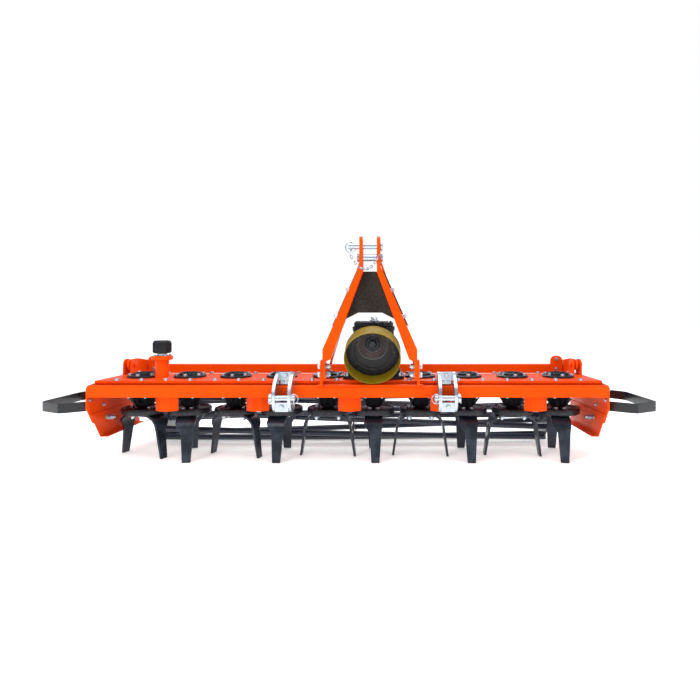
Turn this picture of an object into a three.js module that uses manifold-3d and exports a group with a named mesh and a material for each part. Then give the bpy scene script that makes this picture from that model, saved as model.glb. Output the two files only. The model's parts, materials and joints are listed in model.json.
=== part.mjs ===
// Power harrow for a tractor: ten counter-rotating rotors under a gear trough, a bevel gearbox,
// a three-point headstock and a cage roller. Millimetres, +Z up, +X to the right seen from the
// tractor, +Y to the rear. The model is drawn with Y = 0 on the rotor row and then moved so that
// the origin lies on the ground under the middle of its bounding box.
import * as THREE from 'three';
import { mergeVertices } from 'three/addons/utils/BufferGeometryUtils.js';
import Module from 'manifold-3d';

const wasm = await Module();
wasm.setup();

// ---------------------------------------------------------------- driving dimensions
const GAP = 0.3;                    // clearance between pieces that touch

const ROTOR_COUNT = 10;
const ROTOR_PITCH = 250;            // working width is ROTOR_COUNT * ROTOR_PITCH = 2.5 m
const DRIVEN_ROTOR = 6;             // the rotor under the gearbox
const TINE_TIP_RADIUS = 147;        // middle of the blade at its tip
const TINE_THICKNESS = 12;
const TINE_BEND_RADIUS = 65;
const TINE_SPLAY = THREE.MathUtils.degToRad(8.3);
const HOLDER_RADIUS = 112;
const HOLDER_BOTTOM = 229;
// how far each holder is turned on its splines from square, in degrees
const HOLDER_PHASES = [-20, 10, -14, -4, 0, 0, 0, -2, 0, -10];

const SHAFT_RADIUS = 26;
const GEAR_TEETH = 17;              // odd, so that every gear can start from the same angle
const GEAR_TIP_RADIUS = 134.5;
const GEAR_ROOT_RADIUS = 112.5;
const GEAR_Z = [364, 402];

const TROUGH_BOTTOM = 345;
const TROUGH_TOP = 417;
const TROUGH_HALF_LENGTH = 1296;
const TROUGH_INNER_HALF_WIDTH = 140;
const TROUGH_FLANGE_HALF_WIDTH = 165;
const TROUGH_WALL = 6;
const LID_TOP = 425;
const BEARING_CAP_RADIUS = 83;
const BEARING_CAP_TOP = 437;
const BEARING_RING_RADIUS = 55;
const BEARING_RING_TOP = 450;

const BEAM_FRONT = -215;
const BEAM_BOTTOM = 347;
const BEAM_TOP = 405;
const BEAM_WALL = 6;
const STONE_GUARD_X = [-930, -465, 5, 477, 957];
const STONE_GUARD_HALF_WIDTH = 56;
const STONE_GUARD_BOTTOM = 270;

const SIDE_INNER = 1303;
const SIDE_PLATE_THICKNESS = 8;
const SIDE_REAR = 290;
const DEFLECTOR_THICKNESS = 5;
const HOOP_THICKNESS = 8;
const HOOP_Z = [263, 313];

const GEARBOX_X = 125;
const GEARBOX_HALF_WIDTH = 107.5;
const GEARBOX_FRONT = -105;
const GEARBOX_REAR = 115;
const GEARBOX_WALL = 15;
const GEARBOX_FLOOR = 530;
const GEARBOX_TOP = 700;
const COVER_TOP = 728;
const INPUT_Z = 615;                // height of the power take-off shaft and of the bevel apex
const INPUT_RADIUS = 17.5;          // 1 3/8 in splined shaft
const INPUT_NOSE = -262;
const BOSS_RADIUS = 80;
const CROWN = { teeth: 24, plane: 36, tip: 87.6, root: 58.6, half: [4.4, 1.6] };
const PINION = { teeth: 12, plane: 72, tip: 43, root: 28.4, half: [9.5, 3] };
const BEVEL_INNER_SCALE = 0.7;

const GUARD_RADIUS = 141;
const GUARD_WALL = 4;
const GUARD_LENGTH = 88;
const GUARD_TILT = THREE.MathUtils.degToRad(22);
const GUARD_MOUTH = [-258, 543];    // y and z of the middle of the mouth

const EAR_INNER = 35;
const EAR_THICKNESS = 17;
const EAR_TOP = 1152;
const TOP_PIN_Z = 1104;
const SPACER_PIN_Z = 1046;
const HEAD_X = 112;                 // middle of the headstock
const HEAD_Y = -215;                // middle of the ears and of the front legs
const LEG_DEPTH = 50;
const LEG_FOOT_OUTER = 235;
const LEG_KNEE_Z = 590;
const LEG_SLOPE = 413 / 183;        // drop of a leg for each millimetre that it spreads

const CLAMP_X = [-315, 495];
const CLAMP_INNER = 30.5;
const CLAMP_THICKNESS = 15;
const HITCH_PIN = [-283, 355];      // y and z
const HITCH_PIN_RADIUS = 14;

const ROLLER_AXIS = [345, 150];     // y and z
const ROLLER_BARS = 8;
const ROLLER_BAR_CIRCLE = 133;
const ROLLER_BAR_RADIUS = 17;
const ROLLER_HALF_LENGTH = 1145;
const ROLLER_TWIST = THREE.MathUtils.degToRad(40);
const ROLLER_PIVOT = [125, 480];    // y and z
const ROLLER_BEAM = { y: [315, 375], z: [409, 461], half: 1258.7, wall: 6 };
const ROLLER_ARM_INNER = 1195;

const BREATHER = [-990, -80];       // x and y
const BREATHER_NECK_TOP = 560;

// front-most point is the guard's upper lip, rear-most the roller's bars
const FRONT_MOST = GUARD_MOUTH[0] - GUARD_RADIUS * Math.sin(GUARD_TILT);
const REAR_MOST = ROLLER_AXIS[0] + ROLLER_BAR_CIRCLE + ROLLER_BAR_RADIUS;
const ORIGIN_Y = (FRONT_MOST + REAR_MOST) / 2;

// ---------------------------------------------------------------- materials
const paint = (color, roughness, metalness) => () =>
  new THREE.MeshStandardMaterial({ color, roughness, metalness });
const orangePaint = paint(0xf4520a, 0.4, 0.1);
const blackPaint = paint(0x17171c, 0.45, 0.3);
const bareSteel = paint(0x9a9ca0, 0.35, 0.9);
const zincPlate = paint(0xb9c8d0, 0.3, 0.9);
const castIron = paint(0x20242c, 0.5, 0.5);
const guardPlastic = paint(0xb8951a, 0.5, 0);
const galvanised = paint(0x4c4038, 0.5, 0.6);
const blackPlastic = paint(0x101012, 0.5, 0);
const rollerPaint = paint(0x252b3a, 0.35, 0.4);

// ---------------------------------------------------------------- solids
function toSolid(geometry) {
  const bare = geometry.clone();
  bare.deleteAttribute('normal');
  bare.deleteAttribute('uv');
  const merged = mergeVertices(bare, 1e-3);
  const faces = [];
  for (let i = 0; i < merged.index.count; i += 3) {
    const [a, b, c] = [0, 1, 2].map((k) => merged.index.getX(i + k));
    if (a !== b && b !== c && a !== c) faces.push(a, b, c);
  }
  return new wasm.Manifold(new wasm.Mesh({
    numProp: 3,
    vertProperties: new Float32Array(merged.attributes.position.array),
    triVerts: new Uint32Array(faces),
  }));
}

function toGeometry(solid) {
  const mesh = solid.getMesh();
  const geometry = new THREE.BufferGeometry();
  geometry.setAttribute('position', new THREE.BufferAttribute(mesh.vertProperties, 3));
  geometry.setIndex(new THREE.BufferAttribute(mesh.triVerts, 1));
  geometry.computeVertexNormals();
  return geometry;
}

const join = (...parts) => toGeometry(parts.map(toSolid).reduce((a, b) => a.add(b)));
const cut = (base, ...tools) =>
  toGeometry(tools.map(toSolid).reduce((a, b) => a.subtract(b), toSolid(base)));
const common = (a, b) => toGeometry(toSolid(a).intersect(toSolid(b)));

function box([x0, x1], [y0, y1], [z0, z1]) {
  const geometry = new THREE.BoxGeometry(x1 - x0, y1 - y0, z1 - z0);
  return geometry.translate((x0 + x1) / 2, (y0 + y1) / 2, (z0 + z1) / 2);
}

// An outline whose points are [u, v] or [u, v, corner radius].
function outline(points) {
  const shape = new THREE.Shape();
  points.forEach(([u, v, radius = 0], i) => {
    const corner = new THREE.Vector2(u, v);
    const before = new THREE.Vector2(...points.at(i - 1).slice(0, 2));
    const after = new THREE.Vector2(...points[(i + 1) % points.length].slice(0, 2));
    const reach = Math.min(radius, 0.48 * before.distanceTo(corner), 0.48 * after.distanceTo(corner));
    const into = before.sub(corner).setLength(reach).add(corner);
    const out = after.sub(corner).setLength(reach).add(corner);
    if (i === 0) shape.moveTo(into.x, into.y);
    else shape.lineTo(into.x, into.y);
    if (reach > 0) shape.quadraticCurveTo(u, v, out.x, out.y);
  });
  shape.closePath();
  return shape;
}

function extrude(shape, depth, curveSegments = 4) {
  return new THREE.ExtrudeGeometry(shape, { depth, bevelEnabled: false, curveSegments });
}

// Plates: the outline lies in YZ, XZ or XY, and the thickness runs along the third axis.
function plateX(points, [x0, x1], segments) {
  const turn = new THREE.Matrix4().makeBasis(
    new THREE.Vector3(0, 1, 0), new THREE.Vector3(0, 0, 1), new THREE.Vector3(1, 0, 0));
  return extrude(outline(points), x1 - x0, segments).applyMatrix4(turn).translate(x0, 0, 0);
}
function plateY(points, [y0, y1], segments) {
  return extrude(outline(points), y1 - y0, segments).rotateX(Math.PI / 2).translate(0, y1, 0);
}
function plateZ(points, [z0, z1], segments) {
  return extrude(outline(points), z1 - z0, segments).translate(0, 0, z0);
}

function turned(profile, segments) {
  const points = profile.map(([r, z]) => new THREE.Vector2(r, z));
  return new THREE.LatheGeometry(points, segments).rotateX(Math.PI / 2);
}

function cylinder(radius, [z0, z1], segments) {
  return new THREE.CylinderGeometry(radius, radius, z1 - z0, segments)
    .rotateX(Math.PI / 2).translate(0, 0, (z0 + z1) / 2);
}
const rodZ = (radius, range, segments, x = 0, y = 0) =>
  cylinder(radius, range, segments).translate(x, y, 0);
const rodX = (radius, range, segments, y = 0, z = 0) =>
  cylinder(radius, range, segments).rotateY(Math.PI / 2).translate(0, y, z);
// rodY runs along Y: its range is given in Y
const rodY = (radius, [y0, y1], segments, x = 0, z = 0) =>
  cylinder(radius, [-y1, -y0], segments).rotateX(Math.PI / 2).translate(x, 0, z);

// A strip of even thickness along a path of [u, v] points, as an outline.
function ribbon(path, thickness) {
  const left = [];
  const right = [];
  path.forEach((point, i) => {
    const here = new THREE.Vector2(...point);
    const before = new THREE.Vector2(...path[Math.max(i - 1, 0)]);
    const after = new THREE.Vector2(...path[Math.min(i + 1, path.length - 1)]);
    const into = here.clone().sub(before).normalize();
    const out = after.clone().sub(here).normalize();
    if (i === 0) into.copy(out);
    if (i === path.length - 1) out.copy(into);
    const along = into.add(out).normalize();
    const spread = thickness / 2 / Math.max(along.dot(out), 0.5);
    const normal = new THREE.Vector2(-along.y, along.x).multiplyScalar(spread);
    left.push([here.x + normal.x, here.y + normal.y]);
    right.unshift([here.x - normal.x, here.y - normal.y]);
  });
  return [...left, ...right];
}

const mirrored = (geometry) => {
  // a mirror image turns every face inside out, so each triangle is turned back
  const flipped = toGeometry(toSolid(geometry));
  flipped.scale(-1, 1, 1);
  const index = flipped.index;
  for (let i = 0; i < index.count; i += 3) {
    const keep = index.getX(i);
    index.setX(i, index.getX(i + 1));
    index.setX(i + 1, keep);
  }
  flipped.computeVertexNormals();
  return flipped;
};

const rotorX = (number) => (number - (ROTOR_COUNT + 1) / 2) * ROTOR_PITCH;
const rotorNumbers = Array.from({ length: ROTOR_COUNT }, (_, i) => i + 1);
const twoDigits = (number) => String(number).padStart(2, '0');

// ---------------------------------------------------------------- rotors and tines
function toothedOutline(teeth, root, tip, halfRoot, halfTip) {
  const points = [];
  for (let tooth = 0; tooth < teeth; tooth += 1) {
    const middle = (tooth * 2 * Math.PI) / teeth;
    for (const [radius, offset] of [[root, -halfRoot], [tip, -halfTip], [tip, halfTip], [root, halfRoot]]) {
      points.push([radius * Math.cos(middle + offset), radius * Math.sin(middle + offset)]);
    }
  }
  return points;
}

function spurGear() {
  const points = toothedOutline(GEAR_TEETH, GEAR_ROOT_RADIUS, GEAR_TIP_RADIUS, 0.118, 0.036);
  return plateZ(points, GEAR_Z, 1);
}

function rotorGeometry(isDriven) {
  const rim = HOLDER_BOTTOM + 35;
  const shaftTop = isDriven
    ? [[SHAFT_RADIUS, 536], [20, 536], [20, 596], [0, 596]]
    : [[SHAFT_RADIUS, 432], [0, 432]];
  const body = turned([
    [0, HOLDER_BOTTOM + GAP], [HOLDER_RADIUS - 8, HOLDER_BOTTOM + GAP],
    [HOLDER_RADIUS, HOLDER_BOTTOM + 9], [HOLDER_RADIUS, rim - 5], [HOLDER_RADIUS - 12, rim],
    [72, rim - 14], [40, rim - 4], [SHAFT_RADIUS, rim - 2], [SHAFT_RADIUS, GEAR_Z[0] - 8],
    [44, GEAR_Z[0] - 8], [44, GEAR_Z[1] + 6], [SHAFT_RADIUS, GEAR_Z[1] + 6], ...shaftTop,
  ], 10);
  return join(body, spurGear());
}

// One tine, drawn with its leg pointing along +X from the rotor axis.
function tineGeometry() {
  const legZ = HOLDER_BOTTOM - TINE_THICKNESS / 2;
  const bendSweep = Math.PI / 2 - TINE_SPLAY;
  const bendEndZ = legZ - TINE_BEND_RADIUS * (1 - Math.cos(bendSweep));
  const bendStart = TINE_TIP_RADIUS - bendEndZ * Math.tan(TINE_SPLAY)
    - TINE_BEND_RADIUS * Math.sin(bendSweep);
  const path = [[22, legZ]];
  const steps = 6;
  for (let i = 0; i <= steps; i += 1) {
    const angle = (bendSweep * i) / steps;
    path.push([bendStart + TINE_BEND_RADIUS * Math.sin(angle),
      legZ - TINE_BEND_RADIUS * (1 - Math.cos(angle))]);
  }
  const overrun = 20;
  path.push([TINE_TIP_RADIUS + overrun * Math.tan(TINE_SPLAY), -overrun]);
  const bar = plateY(ribbon(path, TINE_THICKNESS), [-60, 60], 1);
  // the leading side is cut back under the shoulder, so the tip trails to the other side
  const face = plateX([[-47, 240], [-49, 196], [-39, 176], [-20, 150], [-9, 0], [33, 0],
    [43, 150], [49, 196], [47, 240]], [0, 200], 1);
  return common(bar, face);
}

// ---------------------------------------------------------------- gear trough and lid
function troughGeometry() {
  const inner = TROUGH_INNER_HALF_WIDTH;
  const outer = inner + TROUGH_WALL;
  const shell = join(
    box([-TROUGH_HALF_LENGTH, TROUGH_HALF_LENGTH], [-outer, outer], [TROUGH_BOTTOM, TROUGH_TOP]),
    box([-TROUGH_HALF_LENGTH, TROUGH_HALF_LENGTH],
      [-TROUGH_FLANGE_HALF_WIDTH, TROUGH_FLANGE_HALF_WIDTH], [TROUGH_TOP - 6, TROUGH_TOP]));
  const channel = cut(shell, box(
    [-TROUGH_HALF_LENGTH + TROUGH_WALL, TROUGH_HALF_LENGTH - TROUGH_WALL], [-inner, inner],
    [TROUGH_BOTTOM + TROUGH_WALL, TROUGH_TOP + 10]));
  const housings = rotorNumbers.map((number) => turned([
    [0, 269], [43, 269], [48, 290], [74, TROUGH_BOTTOM - 18], [98, TROUGH_BOTTOM - 14],
    [98, TROUGH_BOTTOM + 3], [0, TROUGH_BOTTOM + 3],
  ], 14).translate(rotorX(number), 0, 0));
  const bores = rotorNumbers.map((number) => rodZ(29.5, [200, 360], 10, rotorX(number)));
  return cut(join(channel, ...housings), ...bores);
}

function lidGeometry() {
  const plate = box([-TROUGH_HALF_LENGTH, TROUGH_HALF_LENGTH],
    [-TROUGH_FLANGE_HALF_WIDTH, TROUGH_FLANGE_HALF_WIDTH], [TROUGH_TOP + GAP, LID_TOP]);
  const capped = rotorNumbers.filter((number) => number !== DRIVEN_ROTOR);
  const caps = capped.map((number) => turned([
    [0, LID_TOP - 2], [BEARING_CAP_RADIUS, LID_TOP - 2], [BEARING_CAP_RADIUS, BEARING_CAP_TOP],
    [BEARING_RING_RADIUS, BEARING_CAP_TOP], [BEARING_RING_RADIUS - 4, BEARING_RING_TOP],
    [0, BEARING_RING_TOP],
  ], 14).translate(rotorX(number), 0, 0));
  const seats = capped.map((number) => rodZ(29.5, [400, 436], 10, rotorX(number)));
  const shaftHole = rodZ(60, [400, 500], 16, rotorX(DRIVEN_ROTOR));
  const breatherPost = turned([
    [0, LID_TOP - 2], [37, LID_TOP - 2], [37, 525], [53, 525], [53, 546], [26, 546],
    [26, BREATHER_NECK_TOP], [19, BREATHER_NECK_TOP], [19, 596], [0, 596],
  ], 18).translate(...BREATHER, 0);
  const fillerBore = rodZ(12, [400, 700], 10, ...BREATHER);
  const clevis = [1240, 1282, -1248, -1290].map((x) => plateX(
    [[ROLLER_PIVOT[0] - 40, LID_TOP - 2], [ROLLER_PIVOT[0] + 40, LID_TOP - 2],
      [ROLLER_PIVOT[0] + 34, 512, 30], [ROLLER_PIVOT[0] - 34, 512, 30]], [x, x + 8], 3));
  const pivotHoles = rodX(13.6, [-1400, 1400], 12, ...ROLLER_PIVOT);
  return cut(join(plate, ...caps, breatherPost, ...clevis),
    ...seats, shaftHole, fillerBore, pivotHoles);
}

// Front tool bar with the stone guards welded under it and the headstock's brackets on it.
function frontBeamGeometry() {
  const rear = -TROUGH_FLANGE_HALF_WIDTH - GAP;
  const ends = [-TROUGH_HALF_LENGTH - 6, TROUGH_HALF_LENGTH + 6];
  const bar = plateX([[BEAM_FRONT, BEAM_BOTTOM], [rear, BEAM_BOTTOM], [rear, BEAM_TOP, 4],
    [BEAM_FRONT, BEAM_TOP, 8]], ends, 3);
  const inside = box([ends[0] - 10, ends[1] + 10], [BEAM_FRONT + BEAM_WALL, rear - BEAM_WALL],
    [BEAM_BOTTOM + BEAM_WALL, BEAM_TOP - BEAM_WALL]);
  const vee = (x) => plateZ(ribbon([[x - STONE_GUARD_HALF_WIDTH, -152],
    [x - 22, -175], [x + 22, -175], [x + STONE_GUARD_HALF_WIDTH, -152]], 8),
  [STONE_GUARD_BOTTOM, BEAM_BOTTOM + 3], 1);
  const bracket = (side) => plateX([[-238, BEAM_TOP - 2], [-170, BEAM_TOP - 2], [-176, 536, 14],
    [-232, 536, 14]], side < 0
    ? [HEAD_X - LEG_FOOT_OUTER - 12 - GAP, HEAD_X - LEG_FOOT_OUTER - GAP]
    : [HEAD_X + LEG_FOOT_OUTER + GAP, HEAD_X + LEG_FOOT_OUTER + 12 + GAP], 3);
  const footPlate = box([HEAD_X - 265, HEAD_X + 265], [-222, rear], [BEAM_TOP - 2, 410]);
  const solid = join(bar, ...STONE_GUARD_X.map(vee), footPlate, bracket(-1), bracket(1));
  return cut(solid, inside,
    ...[459, 502].map((z) => rodX(9.5, [HEAD_X - 300, HEAD_X + 300], 10, HEAD_Y + 12, z)));
}

// ---------------------------------------------------------------- sides, drawn on the right
function sidePlateGeometry() {
  const plate = plateX([[BEAM_FRONT, BEAM_TOP, 25], [BEAM_FRONT, 290], [-160, 205],
    [SIDE_REAR, 205], [SIDE_REAR, 421, 12], [-150, 409]],
  [SIDE_INNER, SIDE_INNER + SIDE_PLATE_THICKNESS], 4);
  const slots = [-60, 215].map((y) => plateX(
    [[y - 9, 212, 8], [y + 9, 212, 8], [y + 9, 248, 8], [y - 9, 248, 8]], [1290, 1330], 2));
  return cut(plate, ...slots);
}

function deflectorGeometry() {
  const inner = SIDE_INNER - GAP - DEFLECTOR_THICKNESS;
  const sheet = plateX([[-190, 255], [-105, 122, 8], [SIDE_REAR, 122, 8], [SIDE_REAR, 255, 10],
    [-180, 255]], [inner, SIDE_INNER - GAP], 3);
  const fold = box([inner - 30, inner + 2], [-96, SIDE_REAR - 10], [122, 127]);
  const studs = [-60, 215].map((y) => rodX(6, [inner + 1, SIDE_INNER + 22], 8, y, 220));
  return join(sheet, fold, ...studs);
}

function hoopGeometry() {
  const skin = SIDE_INNER + SIDE_PLATE_THICKNESS + GAP;
  const half = HOOP_THICKNESS / 2;
  const path = [[skin + half, -60], [skin + half, -100], [1340, -118], [1440, -187], [1462, -192],
    [1574, -136], [1588, -122], [1592, -100], [1593, 190], [1585, 215], [1541, 266], [1520, 280],
    [1350, 275], [1330, 265], [skin + half, 240], [skin + half, 200]];
  return plateZ(ribbon(path, HOOP_THICKNESS), HOOP_Z, 1);
}

// ---------------------------------------------------------------- gearbox, shafts and guard
function gearboxGeometry() {
  const [left, right] = [-GEARBOX_HALF_WIDTH, GEARBOX_HALF_WIDTH];
  const round = 28;
  const body = plateZ([[left, GEARBOX_FRONT, round], [right, GEARBOX_FRONT, round],
    [right, GEARBOX_REAR, round], [left, GEARBOX_REAR, round]], [LID_TOP + 10, GEARBOX_TOP], 4);
  const foot = plateZ([[-162, -116, 40], [162, -116, 40], [162, 155, 60], [-162, 155, 60]],
    [LID_TOP + GAP, LID_TOP + 16], 5);
  const boss = rodY(BOSS_RADIUS, [-196, GEARBOX_FRONT + 5], 24, 0, INPUT_Z);
  const seal = rodY(38, [-214, -190], 20, 0, INPUT_Z);
  const chamber = plateZ([[left + GEARBOX_WALL, GEARBOX_FRONT + GEARBOX_WALL, 14],
    [right - GEARBOX_WALL, GEARBOX_FRONT + GEARBOX_WALL, 14],
    [right - GEARBOX_WALL, GEARBOX_REAR - GEARBOX_WALL, 14],
    [left + GEARBOX_WALL, GEARBOX_REAR - GEARBOX_WALL, 14]], [GEARBOX_FLOOR, GEARBOX_TOP + 10], 3);
  return cut(join(body, foot, boss, seal), chamber, rodZ(29.5, [400, 560], 14),
    rodY(19.5, [-250, GEARBOX_FRONT + 30], 14, 0, INPUT_Z)).translate(GEARBOX_X, 0, 0);
}

function gearboxCoverGeometry() {
  const half = GEARBOX_HALF_WIDTH - 4;
  const plate = plateZ([[-half, GEARBOX_FRONT + 4, 26], [half, GEARBOX_FRONT + 4, 26],
    [half, GEARBOX_REAR - 4, 26], [-half, GEARBOX_REAR - 4, 26]],
  [GEARBOX_TOP + GAP, COVER_TOP], 4);
  return join(plate, rodZ(21, [COVER_TOP - 2, COVER_TOP + 22], 6)).translate(GEARBOX_X, 0, 0);
}

// Teeth whose flanks all point at the apex: the outline in the outer plane shrinks towards it.
function bevelTeeth({ teeth, plane, tip, root, half }, phase) {
  const [halfRoot, halfTip] = half.map(THREE.MathUtils.degToRad);
  const points = toothedOutline(teeth, root, tip, halfRoot, halfTip);
  const ring = (scale) => points.map(([x, y]) => new THREE.Vector3(x, y, -plane)
    .applyAxisAngle(new THREE.Vector3(0, 0, 1), phase).multiplyScalar(scale));
  const outer = ring(1);
  const inner = ring(BEVEL_INNER_SCALE);
  const count = points.length;
  const vertices = [...outer, ...inner,
    new THREE.Vector3(0, 0, -plane), new THREE.Vector3(0, 0, -plane * BEVEL_INNER_SCALE)];
  const faces = [];
  for (let i = 0; i < count; i += 1) {
    const next = (i + 1) % count;
    faces.push(i, next, count + next, i, count + next, count + i);
    faces.push(2 * count, next, i, 2 * count + 1, count + i, count + next);
  }
  const geometry = new THREE.BufferGeometry();
  geometry.setAttribute('position',
    new THREE.Float32BufferAttribute(vertices.flatMap((v) => v.toArray()), 3));
  geometry.setIndex(faces);
  return geometry;
}

function crownGearGeometry() {
  const toothFacingFront = -Math.PI / 2;
  const teeth = bevelTeeth(CROWN, toothFacingFront).translate(0, 0, INPUT_Z);
  const seat = INPUT_Z - CROWN.plane;
  const hub = turned([[0, 540], [38, 540], [50, seat - 16], [50, seat + 2], [0, seat + 2]], 16);
  return cut(join(teeth, hub), rodZ(20.8, [500, 650], 16)).translate(GEARBOX_X, 0, 0);
}

function inputShaftGeometry() {
  const gapFacingDown = Math.PI / PINION.teeth;
  // the cone's -Z side is turned to face the tractor (-Y)
  const teeth = bevelTeeth(PINION, Math.PI / 2 + gapFacingDown).rotateX(-Math.PI / 2);
  const nose = rodY(26, [-88, -PINION.plane + 2], 14);
  const shaft = rodY(INPUT_RADIUS, [INPUT_NOSE, -PINION.plane + 4], 12);
  return join(teeth, nose, shaft).translate(GEARBOX_X, 0, INPUT_Z);
}

function ptoGuardGeometry() {
  // a drum from its mouth back to its rear plate, then tipped so that the mouth looks down
  const drum = cut(rodY(GUARD_RADIUS, [0, GUARD_LENGTH], 28),
    rodY(GUARD_RADIUS - GUARD_WALL, [-10, GUARD_LENGTH - GUARD_WALL], 28));
  drum.rotateX(GUARD_TILT).translate(0, GUARD_MOUTH[0], GUARD_MOUTH[1]);
  const throughBackPlate = rodY(BOSS_RADIUS + 1.6, [-236, 0], 20, 0, INPUT_Z);
  return cut(drum, throughBackPlate).translate(GEARBOX_X, 0, 0);
}

// ---------------------------------------------------------------- headstock, drawn about X = 0
const legOuterX = (z) => EAR_INNER + EAR_THICKNESS + (1003 - z) / LEG_SLOPE;

function legGeometry() {
  const earOuter = EAR_INNER + EAR_THICKNESS;
  const barWidth = 40;
  const endZ = 540;
  const bar = plateY([[EAR_INNER, EAR_TOP], [EAR_INNER, 974],
    [LEG_FOOT_OUTER - barWidth, endZ], [LEG_FOOT_OUTER - 14, endZ - 12],
    [LEG_FOOT_OUTER - 14, 436], [LEG_FOOT_OUTER, 436], [LEG_FOOT_OUTER, LEG_KNEE_Z],
    [earOuter, 1003], [earOuter, EAR_TOP]],
  [HEAD_Y - LEG_DEPTH / 2 - 5, HEAD_Y + LEG_DEPTH / 2 + 5], 1);
  const side = plateX([[HEAD_Y - 25, 430], [HEAD_Y + 25, 430], [HEAD_Y + 25, 980],
    [HEAD_Y + 30, 1010], [HEAD_Y + 30, EAR_TOP, 27], [HEAD_Y - 30, EAR_TOP, 27],
    [HEAD_Y - 30, 1010], [HEAD_Y - 25, 980]], [0, 300], 4);
  return cut(common(bar, side), rodX(17.4, [0, 300], 14, HEAD_Y, TOP_PIN_Z),
    rodX(15.4, [0, 300], 12, HEAD_Y, SPACER_PIN_Z),
    ...[459, 502].map((z) => rodX(9.5, [200, 300], 10, HEAD_Y + 12, z)));
}

function strutGeometry() {
  const top = new THREE.Vector3(45, -160, 1052);
  const foot = new THREE.Vector3(256, 128, 424);
  const along = top.clone().sub(foot);
  const across = new THREE.Vector3(0, 1, 0).cross(along).normalize();
  const width = along.clone().cross(across).normalize();
  const bar = new THREE.BoxGeometry(10, 46, along.length());
  bar.applyMatrix4(new THREE.Matrix4().makeBasis(across, width, along.clone().normalize()));
  bar.translate(...top.clone().add(foot).multiplyScalar(0.5));
  const behindEar = HEAD_Y + 30 + GAP;
  const trimmed = common(bar, box([EAR_INNER, 400], [behindEar, 400], [LID_TOP + GAP, 1068]));
  const footPad = box([228, 284], [98, 158], [LID_TOP + GAP, LID_TOP + 8]);
  const topPad = box([EAR_INNER + 1, EAR_INNER + EAR_THICKNESS - 1], [behindEar, -150], [1012, 1068]);
  return join(trimmed, footPad, topPad);
}

function shieldGeometry() {
  const sheetY = [HEAD_Y + LEG_DEPTH / 2 + GAP, HEAD_Y + LEG_DEPTH / 2 + GAP + 3];
  const edge = (z) => legOuterX(z) + 9;
  return plateY([[-edge(980), 980], [-edge(704), 704], [-60, 772], [60, 772], [edge(704), 704],
    [edge(980), 980]], sheetY, 1).translate(HEAD_X, 0, 0);
}

function spacerPinGeometry() {
  const outer = EAR_INNER + EAR_THICKNESS + GAP;
  return join(rodX(14, [-outer - 12, outer + 12], 12), rodX(20, [-outer - 12, -outer], 6),
    rodX(20, [outer, outer + 12], 6)).translate(HEAD_X, HEAD_Y, SPACER_PIN_Z);
}

function topLinkPinGeometry() {
  const outer = EAR_INNER + EAR_THICKNESS + GAP;
  return join(rodX(16, [-110, outer + 10], 14), rodX(23, [outer, outer + 10], 14))
    .translate(HEAD_X, HEAD_Y, TOP_PIN_Z);
}

// ---------------------------------------------------------------- lower hitch clamps
function clampGeometry() {
  const top = 473;
  const grip = BEAM_FRONT - GAP;
  const cheekOutline = [[-176, BEAM_TOP + GAP], [-176, top, 6], [-202, top, 12], [-262, 438, 30],
    [-295, 395, 30], [-301, 352, 30], [-290, 310, 25], [-262, 283, 20], [-225, 281, 15],
    [-184, 300, 12], [-184, BEAM_BOTTOM - GAP], [grip, BEAM_BOTTOM - GAP], [grip, BEAM_TOP + GAP]];
  const outer = CLAMP_INNER + CLAMP_THICKNESS;
  const left = plateX(cheekOutline, [-outer, -CLAMP_INNER], 2);
  const right = plateX(cheekOutline, [CLAMP_INNER, outer], 2);
  const wide = [-CLAMP_INNER - 2, CLAMP_INNER + 2];
  const topPlate = box(wide, [-198, -186], [432, top]);
  const topBlock = box([-26, 26], [-188, -178], [BEAM_TOP + 6, 440]);
  const lowerPlate = box(wide, [-286, -272], [289, 334]);
  const saddle = box(wide, [-276, -190], [289, 301]);
  return cut(join(left, right, topPlate, topBlock, lowerPlate, saddle),
    rodX(15.6, [-100, 100], 12, ...HITCH_PIN));
}

function hitchPinGeometry() {
  const outer = CLAMP_INNER + CLAMP_THICKNESS + GAP;
  return join(rodX(HITCH_PIN_RADIUS, [-outer - 21, outer + 8], 14, ...HITCH_PIN),
    rodX(22, [outer, outer + 16], 14, ...HITCH_PIN));
}

// ---------------------------------------------------------------- breather cap
function breatherCapGeometry() {
  const cap = turned([[0, BREATHER_NECK_TOP + GAP], [42, BREATHER_NECK_TOP + GAP], [46, 566],
    [46, 618], [42, 626], [0, 626]], 24);
  return cut(cap, rodZ(20.2, [500, 604], 14)).translate(...BREATHER, 0);
}

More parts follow.
